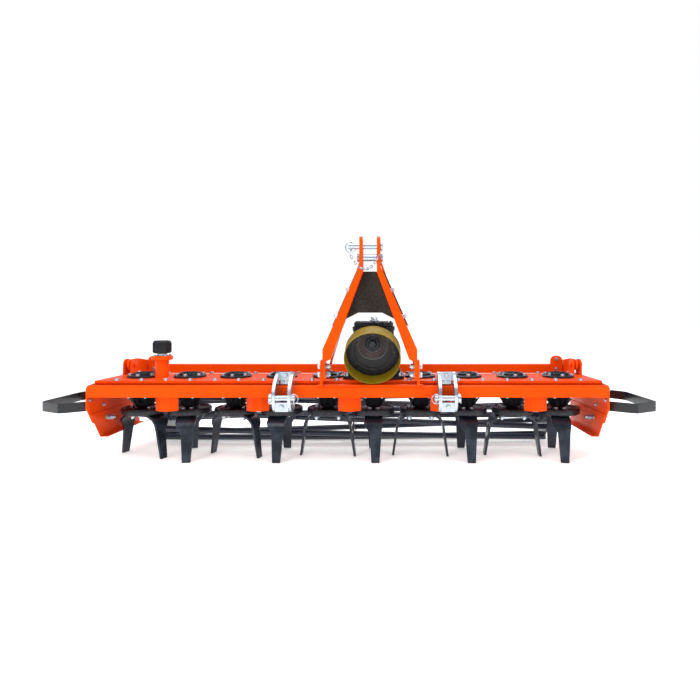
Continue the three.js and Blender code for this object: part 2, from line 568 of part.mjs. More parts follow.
// ---------------------------------------------------------------- cage roller
function rollerGeometry() {
  const sections = 5;
  const bars = Array.from({ length: ROLLER_BARS }, (_, i) => {
    const start = -Math.PI / 2 + (i * 2 * Math.PI) / ROLLER_BARS - ROLLER_TWIST / 2;
    const ring = (step) => {
      const angle = start + (ROLLER_TWIST * step) / sections;
      const x = -ROLLER_HALF_LENGTH + (2 * ROLLER_HALF_LENGTH * step) / sections;
      return new THREE.Vector3(x, ROLLER_BAR_CIRCLE * Math.cos(angle),
        ROLLER_BAR_CIRCLE * Math.sin(angle));
    };
    const path = new THREE.CurvePath();
    for (let step = 0; step < sections; step += 1) {
      path.add(new THREE.LineCurve3(ring(step), ring(step + 1)));
    }
    const circle = new THREE.Shape().absarc(0, 0, ROLLER_BAR_RADIUS, 0, 2 * Math.PI);
    return new THREE.ExtrudeGeometry(circle,
      { steps: sections, curveSegments: 4, extrudePath: path });
  });
  const discs = [-ROLLER_HALF_LENGTH + 6, -8, ROLLER_HALF_LENGTH - 14].map((x) =>
    rodX(ROLLER_BAR_CIRCLE + 4, [x, x + 8], 16));
  const axle = rodX(17, [-ROLLER_ARM_INNER - 8, ROLLER_ARM_INNER + 8], 12);
  return join(...bars, ...discs, axle).translate(0, ...ROLLER_AXIS);
}

function rollerBeamGeometry() {
  const { y, z, half, wall } = ROLLER_BEAM;
  const tube = cut(box([-half - 2, half + 2], y, z), box([-half, half],
    [y[0] + wall, y[1] - wall], [z[0] + wall, z[1] - wall]),
  ...[-900, 900].map((x) => rodZ(8, [z[0] - 5, z[0] + 10], 8, x, (y[0] + y[1]) / 2)));
  const lever = (x) => plateX([[ROLLER_PIVOT[0] - 30, 452, 24], [ROLLER_PIVOT[0] + 80, 440],
    [y[0] - 25, z[0] - 2], [y[1] + 12, z[0] - 2, 10], [y[1] + 12, 486, 30], [y[0] - 8, 492, 30],
    [ROLLER_PIVOT[0] + 70, 510, 20], [ROLLER_PIVOT[0] - 30, 508, 24]], [x, x + 12], 3);
  const bolt = join(rodX(13, [1234, 1300], 12, ...ROLLER_PIVOT),
    rodX(19, [1290 + GAP, 1300], 6, ...ROLLER_PIVOT));
  return join(tube, lever(half), lever(-half - 12), bolt, mirrored(bolt));
}

function rollerArmGeometry() {
  const [y, z] = ROLLER_AXIS;
  const [inner, outer] = [ROLLER_ARM_INNER, ROLLER_ARM_INNER + 12];
  const plate = plateX([[y - 44, z - 10, 24], [y - 26, z - 42, 20], [y + 26, z - 42, 20],
    [y + 44, z - 10, 24], [y + 38, ROLLER_BEAM.z[0] - GAP], [y - 38, ROLLER_BEAM.z[0] - GAP]],
  [inner, outer], 3);
  const hub = rodX(38, [inner - 24, inner + 2], 16, y, z);
  const pad = box([inner - 26, outer + 10], [y - 38, y + 38],
    [ROLLER_BEAM.z[0] - GAP - 8, ROLLER_BEAM.z[0] - GAP]);
  return cut(join(plate, hub, pad), rodX(19, [inner - 50, outer + 50], 12, y, z));
}

// ---------------------------------------------------------------- assembly
const machine = new THREE.Group();
machine.position.y = -ORIGIN_Y;

function add(name, geometry, material, parent = machine) {
  const mesh = new THREE.Mesh(geometry, material());
  mesh.name = name;
  parent.add(mesh);
  return mesh;
}

const plainRotor = rotorGeometry(false);
const drivenRotor = rotorGeometry(true);
const tine = tineGeometry();
const oppositeTine = mirrored(tine);    // for the rotors that turn the other way; its leg points along -X
for (const number of rotorNumbers) {
  const post = new THREE.Group();
  post.position.x = rotorX(number);
  const name = `rotor_${twoDigits(number)}`;
  add(name, number === DRIVEN_ROTOR ? drivenRotor : plainRotor, blackPaint, post);
  const isEven = number % 2 === 0;
  const firstAngle = isEven ? 90 : 180;
  ['a', 'b'].forEach((letter, i) => {
    const label = `tine_${twoDigits(number)}_${letter}`;
    const blade = add(label, isEven ? tine : oppositeTine, blackPaint, post);
    blade.rotation.z = THREE.MathUtils.degToRad(firstAngle + 180 * i + HOLDER_PHASES[number - 1]);
  });
  machine.add(post);
}

add('gear_trough', troughGeometry(), orangePaint);
add('trough_lid', lidGeometry(), orangePaint);
add('front_beam', frontBeamGeometry(), orangePaint);

for (const [side, build] of [['right', (g) => g], ['left', mirrored]]) {
  add(`side_plate_${side}`, build(sidePlateGeometry()), orangePaint);
  add(`side_deflector_${side}`, build(deflectorGeometry()), orangePaint);
  add(`guard_hoop_${side}`, build(hoopGeometry()), blackPaint);
  add(`headstock_leg_${side}`, build(legGeometry()), orangePaint).position.x = HEAD_X;
  add(`headstock_strut_${side}`, build(strutGeometry()), orangePaint).position.x = HEAD_X;
  add(`roller_arm_${side}`, build(rollerArmGeometry()), orangePaint);
}

['left', 'right'].forEach((side, i) => {
  add(`hitch_clamp_${side}`, clampGeometry(), zincPlate).position.x = CLAMP_X[i];
  const pin = side === 'left' ? mirrored(hitchPinGeometry()) : hitchPinGeometry();
  add(`hitch_pin_${side}`, pin, zincPlate).position.x = CLAMP_X[i];
});

add('gearbox_housing', gearboxGeometry(), castIron);
add('gearbox_cover', gearboxCoverGeometry(), castIron);
add('crown_gear', crownGearGeometry(), bareSteel);
add('input_shaft', inputShaftGeometry(), bareSteel);
add('pto_guard', ptoGuardGeometry(), guardPlastic);
add('headstock_shield', shieldGeometry(), galvanised);
add('spacer_pin', spacerPinGeometry(), zincPlate);
add('top_link_pin', topLinkPinGeometry(), zincPlate);
add('breather_cap', breatherCapGeometry(), blackPlastic);
add('roller_beam', rollerBeamGeometry(), orangePaint);
add('roller', rollerGeometry(), rollerPaint);

export default machine;
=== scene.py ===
"""Looks of a ten-rotor power harrow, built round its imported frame.

Metres, +Z up, +X to the right seen from the tractor, +Y to the rear. Every assembly is drawn
with Y = 0 on the rotor row; Bench.deliver moves a finished piece to its place in the frame.
"""

from __future__ import annotations

import json
import logging
import math
from contextlib import contextmanager
from dataclasses import dataclass
from enum import Enum
from typing import Iterable, Iterator, Sequence

import bpy
from mathutils import Matrix, Vector

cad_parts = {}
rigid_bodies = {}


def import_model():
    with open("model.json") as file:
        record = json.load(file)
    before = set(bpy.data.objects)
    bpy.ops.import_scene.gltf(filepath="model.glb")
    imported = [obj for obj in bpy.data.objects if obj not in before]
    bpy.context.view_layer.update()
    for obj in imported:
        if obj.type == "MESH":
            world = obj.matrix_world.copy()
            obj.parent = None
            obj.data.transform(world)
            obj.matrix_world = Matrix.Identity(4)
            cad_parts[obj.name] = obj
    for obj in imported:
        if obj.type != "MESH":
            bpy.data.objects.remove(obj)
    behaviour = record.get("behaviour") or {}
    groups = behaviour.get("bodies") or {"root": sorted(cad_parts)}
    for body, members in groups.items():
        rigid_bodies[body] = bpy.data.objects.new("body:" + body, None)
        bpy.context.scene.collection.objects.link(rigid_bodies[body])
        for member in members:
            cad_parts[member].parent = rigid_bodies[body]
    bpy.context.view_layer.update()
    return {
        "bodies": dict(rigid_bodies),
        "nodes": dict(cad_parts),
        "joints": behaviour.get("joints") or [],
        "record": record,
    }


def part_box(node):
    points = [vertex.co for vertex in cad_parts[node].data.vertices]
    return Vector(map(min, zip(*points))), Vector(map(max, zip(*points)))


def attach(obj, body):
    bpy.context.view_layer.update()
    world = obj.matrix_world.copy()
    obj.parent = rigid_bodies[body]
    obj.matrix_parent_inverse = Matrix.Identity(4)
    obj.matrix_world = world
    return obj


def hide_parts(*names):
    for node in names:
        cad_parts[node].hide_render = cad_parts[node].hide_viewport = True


LOG = logging.getLogger("power_harrow")
TURN = 2 * math.pi
ROUND = 48          # steps round a large turned piece
SMALL_ROUND = 24    # steps round a pin or a bolt
HEX = 6             # sides of a nut or a bolt's head
MERGE = 1e-5        # points nearer than this become one
PITCH = 0.250       # from rotor to rotor
DRIVEN = 6          # the rotor under the gearbox
ROTOR_X = {number: (number - 5.5) * PITCH for number in range(1, 11)}
UP, DOWN, AHEAD = (0, 0, 1), (0, 0, -1), (0, -1, 0)
SIDES = (("left", -1), ("right", 1))

Piece = bpy.types.Object
Material = bpy.types.Material
Colour = tuple[float, float, float]
Point = tuple[float, float, float]
Outline = Sequence[tuple[float, ...]]
WHITE: Colour = (1.0, 1.0, 1.0)


# ---------------------------------------------------------------- shader maths
class Wire:
    """One shader socket. Python operators on it add Math nodes."""

    def __init__(self, graph: Graph, socket: bpy.types.NodeSocket) -> None:
        """Keeps the socket and the graph that it belongs to."""
        self.graph, self.socket = graph, socket

    def _math(self, operation: str, first: Wire | float, second: Wire | float) -> Wire:
        """The result of one Math node."""
        node = self.graph.add("ShaderNodeMath", {"operation": operation}, {0: first, 1: second})
        return Wire(self.graph, node.outputs[0])

    def __add__(self, other: Wire | float) -> Wire:
        """self + other."""
        return self._math("ADD", self, other)

    def __radd__(self, other: float) -> Wire:
        """other + self."""
        return self._math("ADD", other, self)

    def __sub__(self, other: Wire | float) -> Wire:
        """self - other."""
        return self._math("SUBTRACT", self, other)

    def __rsub__(self, other: float) -> Wire:
        """other - self."""
        return self._math("SUBTRACT", other, self)

    def __mul__(self, other: float) -> Wire:
        """self * other."""
        return self._math("MULTIPLY", self, other)

    def between(self, low: float, high: float) -> Wire:
        """A smooth step from 0 at low to 1 at high."""
        node = self.graph.add("ShaderNodeMapRange", {"interpolation_type": "SMOOTHSTEP"},
                              {0: self, 1: low, 2: high})
        return Wire(self.graph, node.outputs[0])


class Graph:
    """The node graph of one material."""

    def __init__(self, name: str) -> None:
        """Makes an empty material.

        Args:
            name: The material's name.
        """
        self.material = bpy.data.materials.new(name)
        self.material.use_nodes = True
        self.tree = self.material.node_tree
        self.tree.nodes.clear()

    def add(self, kind: str, settings: dict[str, object] | None = None,
            inputs: dict[int | str, object] | None = None) -> bpy.types.Node:
        """Adds one node.

        Args:
            kind: The node's type.
            settings: Its properties, set before its sockets.
            inputs: A value or a wire for each socket, by name or index.

        Returns:
            The node.
        """
        node = self.tree.nodes.new(kind)
        for name, value in (settings or {}).items():
            setattr(node, name, value)
        for socket, value in (inputs or {}).items():
            if isinstance(value, Wire):
                self.tree.links.new(value.socket, node.inputs[socket])
            else:
                node.inputs[socket].default_value = value
        return node

    def place(self, stretch: Point = (1, 1, 1)) -> Wire:
        """Object coordinates; a small stretch along an axis draws a pattern out there."""
        own = Wire(self, self.add("ShaderNodeTexCoord").outputs["Object"])
        return Wire(self, self.add("ShaderNodeMapping", None, {"Vector": own, "Scale": stretch}).outputs[0])

    def noise(self, scale: float, detail: float = 3, stretch: Point = (1, 1, 1)) -> Wire:
        """Noise round 0.5, with scale waves to the metre and detail octaves."""
        inputs = {"Vector": self.place(stretch), "Scale": scale, "Detail": detail}
        return Wire(self, self.add("ShaderNodeTexNoise", None, inputs).outputs["Fac"])

    def crystals(self, scale: float) -> Wire:
        """The distance from the middle of each cell of about 1 / scale metres."""
        node = self.add("ShaderNodeTexVoronoi", None, {"Vector": self.place(), "Scale": scale})
        return Wire(self, node.outputs["Distance"])

    def blend(self, factor: Wire | float, first: Wire | Colour, second: Wire | Colour) -> Wire:
        """A colour between two.

        Args:
            factor: 0 for the first, 1 for the second.
            first: A colour.
            second: A colour.

        Returns:
            The mixed colour.
        """
        first, second = (c if isinstance(c, Wire) else (*c, 1.0) for c in (first, second))
        node = self.add("ShaderNodeMix", {"data_type": "RGBA"}, {0: factor, 6: first, 7: second})
        return Wire(self, node.outputs[2])

    def surface(self, colour: Wire, rough: Wire, height: Wire, depth: float, metal: Wire | float = 0.0,
                coat: float = 0.0, gloss: float = 0.4, glow: float = 0.0, sheen: Colour = WHITE) -> Material:
        """Closes the graph with one Principled shader.

        Args:
            colour: Base colour.
            rough: Roughness.
            height: Relief, from 0 to 1.
            depth: The height of that relief in metres.
            metal: Metallic.
            coat: Weight of the clear coat.
            gloss: Specular level of the surface itself.
            glow: Strength of its own white light.
            sheen: Colour of the reflection seen face on.

        Returns:
            The finished material.
        """
        bump = self.add("ShaderNodeBump", None, {"Strength": 1.0, "Distance": depth, "Height": height})
        shader = self.add("ShaderNodeBsdfPrincipled", None, {
            "Base Color": colour, "Roughness": rough, "Metallic": metal, "Coat Weight": coat,
            "Coat Roughness": 0.08, "Specular IOR Level": gloss, "Normal": Wire(self, bump.outputs[0]),
            "Emission Color": (*WHITE, 1), "Emission Strength": glow, "Specular Tint": (*sheen, 1),
        })
        self.tree.links.new(shader.outputs[0], self.add("ShaderNodeOutputMaterial").inputs[0])
        return self.material


# ---------------------------------------------------------------- finishes
@dataclass(frozen=True)
class Look:
    """What every finish has: its slot in the record and its two main colours."""

    slot: str
    colour: Colour
    shade: Colour


@dataclass(frozen=True)
class Paint(Look):
    """Sprayed gloss paint: slow changes of shade, orange peel and fine handling marks."""

    rough: float = 0.32
    coat: float = 0.12
    peel: float = 0.00012
    gloss: float = 0.45
    sheen: Colour = WHITE

    def material(self) -> Material:
        """Draws the paint.

        Returns:
            Its material.
        """
        graph = Graph(self.slot)
        cloud = graph.noise(4.0, 3).between(0.32, 0.72)
        streak = graph.noise(22.0, 4, (1, 1, 0.25)).between(0.45, 0.78)
        mark = graph.noise(260.0, 2, (0.12, 1, 1)).between(0.66, 0.8)
        grime = graph.noise(38.0, 6).between(0.58, 0.8)
        colour = graph.blend(cloud * 0.55 + streak * 0.25, self.colour, self.shade)
        dulled = graph.blend(grime * 0.16, colour, tuple(0.35 * c + 0.02 for c in self.shade))
        rough = self.rough + streak * 0.1 + mark * 0.14 + grime * 0.12
        height = graph.noise(310.0, 2) * 0.7 + graph.noise(70.0, 2) * 0.3 - mark * 0.2
        return graph.surface(dulled, rough, height, self.peel, 0.0, self.coat, self.gloss, sheen=self.sheen)


@dataclass(frozen=True)
class ForgedSteel(Look):
    """Heat-treated tine steel: blue-black scale with the waves of the hammer in it."""

    worn: Colour

    def material(self) -> Material:
        """Draws the forged steel.

        Returns:
            Its material.
        """
        graph = Graph(self.slot)
        cloud = graph.noise(16.0, 4).between(0.35, 0.7)
        scale = graph.noise(150.0, 5).between(0.52, 0.7)
        rubbed = graph.noise(55.0, 3, (1, 1, 0.2)).between(0.66, 0.8)
        colour = graph.blend(cloud, self.colour, self.shade)
        worn = graph.blend(rubbed * 0.4, colour, self.worn)
        rough = 0.3 + cloud * 0.1 + scale * 0.16
        height = graph.noise(38.0, 2) * 0.65 + scale * 0.2 + graph.noise(420.0, 2) * 0.15
        return graph.surface(worn, rough, height, 0.0009, 0.35 + rubbed * 0.4, 0.15)


@dataclass(frozen=True)
class CastIron(Look):
    """Painted sand casting: a coarse skin with pits under a thin coat of paint."""

    rough: float = 0.42

    def material(self) -> Material:
        """Draws the casting's skin.

        Returns:
            Its material.
        """
        graph = Graph(self.slot)
        grit, swell = graph.noise(330.0, 3), graph.noise(60.0, 4)
        pits = graph.crystals(240.0).between(0.05, 0.22)
        colour = graph.blend(swell.between(0.4, 0.7) * 0.7, self.colour, self.shade)
        rough = self.rough + (grit - 0.5) * 0.3 + (1 - pits) * 0.1
        height = grit * 0.45 + swell * 0.4 + pits * 0.15
        return graph.surface(colour, rough, height, 0.0007, 0.25, 0.12)


@dataclass(frozen=True)
class Zinc(Look):
    """Bright zinc plate: bluish, with a faint yellow bloom and dull finger marks."""

    rough: float = 0.26

    def material(self) -> Material:
        """Draws the plate.

        Returns:
            Its material.
        """
        graph = Graph(self.slot)
        bloom = graph.noise(18.0, 4).between(0.45, 0.72)
        fine = graph.noise(140.0, 4)
        colour = graph.blend(bloom * 0.6, self.colour, self.shade)
        dull = graph.blend(fine.between(0.5, 0.8) * 0.3, colour, tuple(0.55 * c for c in self.colour))
        rough = self.rough + bloom * 0.08 + (fine - 0.5) * 0.1
        height = graph.noise(400.0, 2) * 0.4 + graph.noise(60.0, 2) * 0.6
        return graph.surface(dull, rough, height, 0.00006, 0.94)


@dataclass(frozen=True)
class Machined(Look):
    """Turned steel, with tool marks drawn out round the work and a film of oil."""

    def material(self) -> Material:
        """Draws the turned steel.

        Returns:
            Its material.
        """
        graph = Graph(self.slot)
        rings = graph.noise(900.0, 1, (1, 0.15, 1))
        film = graph.noise(45.0, 4).between(0.4, 0.75)
        colour = graph.blend(film * 0.5, self.colour, self.shade)
        return graph.surface(colour, 0.24 + rings * 0.16 + film * 0.06, rings, 0.00008, 1.0)


@dataclass(frozen=True)
class Spangled(Look):
    """Thin galvanised sheet under a brown film, with soft crystals and broad stains."""

    def material(self) -> Material:
        """Draws the sheet.

        Returns:
            Its material.
        """
        graph = Graph(self.slot)
        spangle = graph.noise(85.0, 1).between(0.4, 0.62)
        stain = graph.noise(7.0, 5, (1, 1, 0.4)).between(0.38, 0.7)
        colour = graph.blend(spangle * 0.22 + stain * 0.4, self.colour, self.shade)
        rough = 0.36 + spangle * 0.06 + stain * 0.12
        height = graph.noise(9.0, 2) * 0.95 + spangle * 0.05
        return graph.surface(colour, rough, height, 0.0014, 0.55)


@dataclass(frozen=True)
class Moulded(Look):
    """Moulded plastic: a leathery grain, flow lines and a dusty bloom on the high spots."""

    rough: float = 0.42
    dust: Colour = (0.5, 0.48, 0.42)

    def material(self) -> Material:
        """Draws the plastic.

        Returns:
            Its material.
        """
        graph = Graph(self.slot)
        flow = graph.noise(11.0, 4, (1, 3, 1)).between(0.35, 0.7)
        grain = graph.crystals(520.0)
        dust = graph.noise(48.0, 5).between(0.55, 0.8)
        dusty = graph.blend(dust * 0.1, graph.blend(flow * 0.5, self.colour, self.shade), self.dust)
        rough = self.rough + dust * 0.18 + (grain - 0.3) * 0.12
        height = grain * 0.4 + graph.noise(26.0, 3) * 0.6
        return graph.surface(dusty, rough, height, 0.0005, 0.0, 0.05, 0.28)


class Finish(Enum):
    """Every finish on the machine, with the record's slot."""

    ORANGE = Paint("orange_paint", (0.80, 0.066, 0.0003), (0.66, 0.043, 0.0003), coat=0.03, gloss=0.24,
                   sheen=(1.0, 0.45, 0.16))
    BLACK = Paint("black_paint", (0.005, 0.006, 0.008), (0.012, 0.013, 0.017), 0.30, 0.2, 0.0002, 0.35)
    ROLLER = Paint("roller_paint", (0.020, 0.028, 0.048), (0.034, 0.045, 0.072), 0.28, 0.3, 0.0001)
    TINE = ForgedSteel("tine_steel", (0.010, 0.014, 0.021), (0.032, 0.043, 0.062), (0.08, 0.095, 0.12))
    CAST = CastIron("cast_iron", (0.007, 0.008, 0.011), (0.022, 0.027, 0.037))
    ZINC = Zinc("zinc_plate", (0.50, 0.565, 0.63), (0.60, 0.59, 0.53))
    MACHINED = Machined("machined_steel", (0.22, 0.23, 0.25), (0.08, 0.08, 0.08))
    OILED = Machined("machined_steel", (0.060, 0.060, 0.064), (0.028, 0.026, 0.025))
    SEAL = CastIron("cast_iron", (0.034, 0.021, 0.020), (0.062, 0.042, 0.038))
    SHEET = Spangled("shield_metal", (0.020, 0.013, 0.012), (0.070, 0.054, 0.038))
    GUARD = Moulded("guard_plastic", (0.225, 0.150, 0.002), (0.150, 0.102, 0.002))
    CAP = Moulded("cap_plastic", (0.006, 0.006, 0.007), (0.014, 0.014, 0.016))


_made: dict[str, Material] = {}


def dressed(finish: Finish) -> Material:
    """The one material of a finish, made on first use."""
    if finish.name not in _made:
        _made[finish.name] = finish.value.material()
    return _made[finish.name]


# ---------------------------------------------------------------- bench tools
class Axis(Enum):
    """The direction square to an outline."""

    X = "x"
    Y = "y"
    Z = "z"

    def spot(self, u: float, v: float, w: float) -> Vector:
        """The point at (u, v) on the outline's plane and w along the axis."""
        return Vector({"x": (w, u, v), "y": (u, w, v), "z": (u, v, w)}[self.value])


def free() -> None:
    """Leaves edit mode and deselects everything."""
    if bpy.context.object and bpy.context.object.mode != "OBJECT":
        bpy.ops.object.mode_set(mode="OBJECT")
    for chosen in list(bpy.context.selected_objects):
        chosen.select_set(False)


def only(piece: Piece) -> None:
    """Selects one piece alone and makes it active.

    Args:
        piece: The piece.
    """
    free()
    piece.select_set(True)
    bpy.context.view_layer.objects.active = piece


@contextmanager
def editing(piece: Piece, everything: bool = True) -> Iterator[None]:
    """Edit mode on one piece.

    Args:
        piece: The piece to edit.
        everything: Selects all of it first; otherwise the selection made in code stays.

    Yields:
        Nothing; edit mode ends with the block.
    """
    only(piece)
    bpy.ops.object.mode_set(mode="EDIT")
    if everything:
        bpy.ops.mesh.select_all(action="SELECT")
    yield
    bpy.ops.object.mode_set(mode="OBJECT")


def settle(piece: Piece) -> Piece:
    """Moves a piece's place, turn and scale into its mesh.

    Args:
        piece: The piece.

    Returns:
        The same piece, at the origin.
    """
    only(piece)
    bpy.ops.object.transform_apply(location=True, rotation=True, scale=True)
    return piece


def apply(piece: Piece, kind: str, **settings: object) -> Piece:
    """Adds a modifier to a piece and applies it.

    Args:
        piece: The piece.
        kind: The modifier's type.
        **settings: Its properties.

    Returns:
        The same piece.
    """
    only(piece)
    modifier = piece.modifiers.new(kind.lower(), kind)
    for name, value in settings.items():
        setattr(modifier, name, value)
    bpy.ops.object.modifier_apply(modifier=modifier.name)
    return piece


def chamfer(piece: Piece, width: float, segments: int = 2) -> Piece:
    """The same piece with its sharp edges rounded, in that many faces."""
    return apply(piece, "BEVEL", width=width, segments=segments, limit_method="ANGLE",
                 angle_limit=math.radians(32), use_clamp_overlap=True, miter_outer="MITER_ARC")


def tidy(piece: Piece) -> Piece:
    """Merges doubles and turns every face outwards.

    Args:
        piece: The piece.

    Returns:
        The same piece.
    """
    with editing(piece):
        bpy.ops.mesh.remove_doubles(threshold=MERGE)
        bpy.ops.mesh.normals_make_consistent(inside=False)
    return piece


def join(pieces: Sequence[Piece]) -> Piece:
    """Makes one object of several settled pieces.

    Args:
        pieces: The pieces, one or more.

    Returns:
        The first of them, with the others in it.
    """
    only(pieces[0])
    for other in pieces[1:]:
        other.select_set(True)
    if len(pieces) > 1:
        bpy.ops.object.join()
    return pieces[0]


def twin(piece: Piece, place: Matrix) -> Piece:
    """Copies a piece with its mesh.

    Args:
        piece: The piece.
        place: The matrix that moves the copy.

    Returns:
        The copy.
    """
    copy = bpy.data.objects.new(piece.name, piece.data.copy())
    copy.data.transform(place)
    bpy.context.scene.collection.objects.link(copy)
    return copy


def scatter(template: Piece, places: Iterable[Matrix]) -> Piece:
    """Copies a template to each place and joins the copies; the template itself goes.

    Args:
        template: The piece that repeats, drawn about the origin.
        places: A matrix for each copy.

    Returns:
        The joined copies.
    """
    copies = [twin(template, place) for place in places]
    bpy.data.objects.remove(template)
    return join(copies)


def in_row(template: Piece, spots: Iterable[float]) -> Piece:
    """Copies of a template at each X, as one object."""
    return scatter(template, [Matrix.Translation((x, 0, 0)) for x in spots])


def around(template: Piece, count: int, start: float = 0.0) -> Piece:
    """Copies of a template round Z, as one object; start is the first's part of a step."""
    return scatter(template, [Matrix.Rotation(TURN * (i + start) / count, 4, "Z") for i in range(count)])


def mirrored(piece: Piece, side: int) -> Piece:
    """Turns a piece of the right side into its twin on the left.

    Args:
        piece: The piece.
        side: -1 for the left; 1 leaves it as it is.

    Returns:
        The same piece.
    """
    if side < 0:
        piece.data.transform(Matrix.Scale(-1, 4, (1, 0, 0)))
    return tidy(piece)


def carve(piece: Piece, *cutters: Piece) -> Piece:
    """Takes the cutters out of a piece.

    Args:
        piece: The piece that is cut.
        *cutters: The shapes taken away, which are removed.

    Returns:
        The same piece.
    """
    tool = join(cutters)
    apply(piece, "BOOLEAN", operation="DIFFERENCE", solver="EXACT", object=tool)
    bpy.data.objects.remove(tool)
    return piece


def rounded(outline: Outline, steps: int = 5) -> list[tuple[float, float]]:
    """An outline with its corners rounded.

    Args:
        outline: Corners as (u, v) or (u, v, radius).
        steps: Points round each corner.

    Returns:
        The points in order.
    """
    points: list[tuple[float, float]] = []
    for i, corner in enumerate(outline):
        here = Vector(corner[:2])
        if len(corner) < 3:
            points.append(tuple(here))
            continue
        before = Vector(outline[i - 1][:2]) - here
        after = Vector(outline[(i + 1) % len(outline)][:2]) - here
        reach = min(corner[2] / math.tan(before.angle(after) / 2), 0.48 * before.length, 0.48 * after.length)
        start, end = here + before.normalized() * reach, here + after.normalized() * reach
        for step in range(steps + 1):
            t = step / steps
            points.append(tuple(start * (1 - t) ** 2 + here * 2 * t * (1 - t) + end * t * t))
    return points


def toothed(count: int, corners: Outline, centre: tuple[float, float] = (0, 0)) -> list[tuple[float, float]]:
    """The outline of a wheel or a splined bar, from the (radius, angle) of each corner of a tooth."""
    return [(centre[0] + radius * math.cos(TURN * i / count + angle),
             centre[1] + radius * math.sin(TURN * i / count + angle))
            for i in range(count) for radius, angle in corners]


def plate(outline: Outline, axis: Axis, low: float, high: float, edge: float = 0.001) -> Piece:
    """A flat plate cut to an outline.

    Args:
        outline: Its corners, as rounded() takes them.
        axis: The direction of its thickness.
        low: Where it starts along that axis.
        high: Where it ends.
        edge: The round on its edges.

    Returns:
        The plate.
    """
    points = rounded(outline)
    free()
    bpy.ops.mesh.primitive_circle_add(vertices=len(points), fill_type="NGON")
    piece = bpy.context.object
    for vertex, (u, v) in zip(piece.data.vertices, points):
        vertex.co = axis.spot(u, v, low)
    with editing(piece):
        thick = axis.spot(0, 0, high - low)
        bpy.ops.mesh.extrude_region_move(TRANSFORM_OT_translate={"value": thick})
        bpy.ops.mesh.select_all(action="SELECT")
        bpy.ops.mesh.normals_make_consistent(inside=False)
    return chamfer(piece, edge) if edge else piece


def block(low: Point, high: Point, edge: float = 0.001) -> Piece:
    """A rectangular piece.

    Args:
        low: Its lowest corner.
        high: Its highest corner.
        edge: The round on its edges.

    Returns:
        The block.
    """
    start, end = Vector(low), Vector(high)
    free()
    bpy.ops.mesh.primitive_cube_add(size=1, location=(start + end) / 2)
    with editing(bpy.context.object):
        bpy.ops.transform.resize(value=end - start)
    piece = settle(bpy.context.object)
    return chamfer(piece, edge) if edge else piece


def lathe(profile: Outline, axis: Axis, centre: Point = (0, 0, 0), steps: int = ROUND) -> Piece:
    """A turned piece.

    Args:
        profile: (radius, place along the axis) pairs. One that starts and ends at radius 0 is
            left open there; any other closes on itself.
        axis: The axis that it turns about.
        centre: Where the profile's own zero is put.
        steps: Faces round it.

    Returns:
        The turned piece.
    """
    free()
    bpy.ops.mesh.primitive_circle_add(vertices=len(profile), fill_type="NOTHING")
    piece = bpy.context.object
    mesh = piece.data
    for vertex, (radius, height) in zip(mesh.vertices, profile):
        vertex.co = axis.spot(radius, 0, height)
    if profile[0][0] == 0 and profile[-1][0] == 0:
        bpy.context.tool_settings.mesh_select_mode = (False, True, False)
        ends = {0, len(profile) - 1}
        for edge in mesh.edges:
            edge.select = set(edge.vertices) == ends
        for vertex in mesh.vertices:
            vertex.select = vertex.index in ends
        with editing(piece, everything=False):
            bpy.ops.mesh.delete(type="EDGE")
        bpy.context.tool_settings.mesh_select_mode = (True, False, False)
    with editing(piece):
        bpy.ops.mesh.spin(steps=steps, angle=TURN, center=(0, 0, 0), axis=axis.spot(0, 0, 1))
    mesh.transform(Matrix.Translation(centre))
    return tidy(piece)


def rod(start: Point, end: Point, radius: float, sides: int = SMALL_ROUND, edge: float = 0.001) -> Piece:
    """A straight bar with its ends chamfered.

    Args:
        start: The middle of one end.
        end: The middle of the other.
        radius: Its radius, to its corners where it has few sides.
        sides: Faces round it.
        edge: The chamfer.

    Returns:
        The bar.
    """
    first, last = Vector(start), Vector(end)
    along = last - first
    free()
    bpy.ops.mesh.primitive_cylinder_add(
        vertices=sides, radius=radius, depth=along.length, location=(first + last) / 2,
        rotation=along.to_track_quat("Z", "Y").to_euler(),
    )
    piece = settle(bpy.context.object)
    return chamfer(piece, edge, 1) if edge else piece


def wire(points: Sequence[Point], radius: float, sides: int = 2, closed: bool = False) -> Piece:
    """A round bar bent along a path.

    Args:
        points: The path's corners.
        radius: The bar's radius.
        sides: A quarter of the faces round it, less one.
        closed: Joins its ends.

    Returns:
        The bar as a mesh.
    """
    curve = bpy.data.curves.new("path", "CURVE")
    curve.dimensions = "3D"
    curve.bevel_depth, curve.bevel_resolution = radius, sides
    curve.use_fill_caps = True
    spline = curve.splines.new("POLY")
    spline.points.add(len(points) - 1)
    for knot, point in zip(spline.points, points):
        knot.co = (*point, 1)
    spline.use_cyclic_u = closed
    piece = bpy.data.objects.new("wire", curve)
    bpy.context.scene.collection.objects.link(piece)
    only(piece)
    bpy.ops.object.convert(target="MESH")
    return tidy(bpy.context.object)


def ring(centre: Point, facing: Point, radius: float, thickness: float) -> Piece:
    """A ring of round wire.

    Args:
        centre: Its middle.
        facing: The direction square to it.
        radius: From its middle to the middle of the wire.
        thickness: The wire's radius.

    Returns:
        The ring.
    """
    free()
    bpy.ops.mesh.primitive_torus_add(
        major_radius=radius, minor_radius=thickness, major_segments=28, minor_segments=10,
        location=centre, rotation=Vector(facing).to_track_quat("Z", "Y").to_euler(),
    )
    return settle(bpy.context.object)


def seat(point: Point, outward: Point, turn: float = 0.0) -> Matrix:
    """The place of a fastener on a point, facing outward and turned about that direction."""
    upright = Vector(outward).to_track_quat("Z", "Y").to_matrix().to_4x4()
    return Matrix.Translation(point) @ upright @ Matrix.Rotation(turn, 4, "Z")


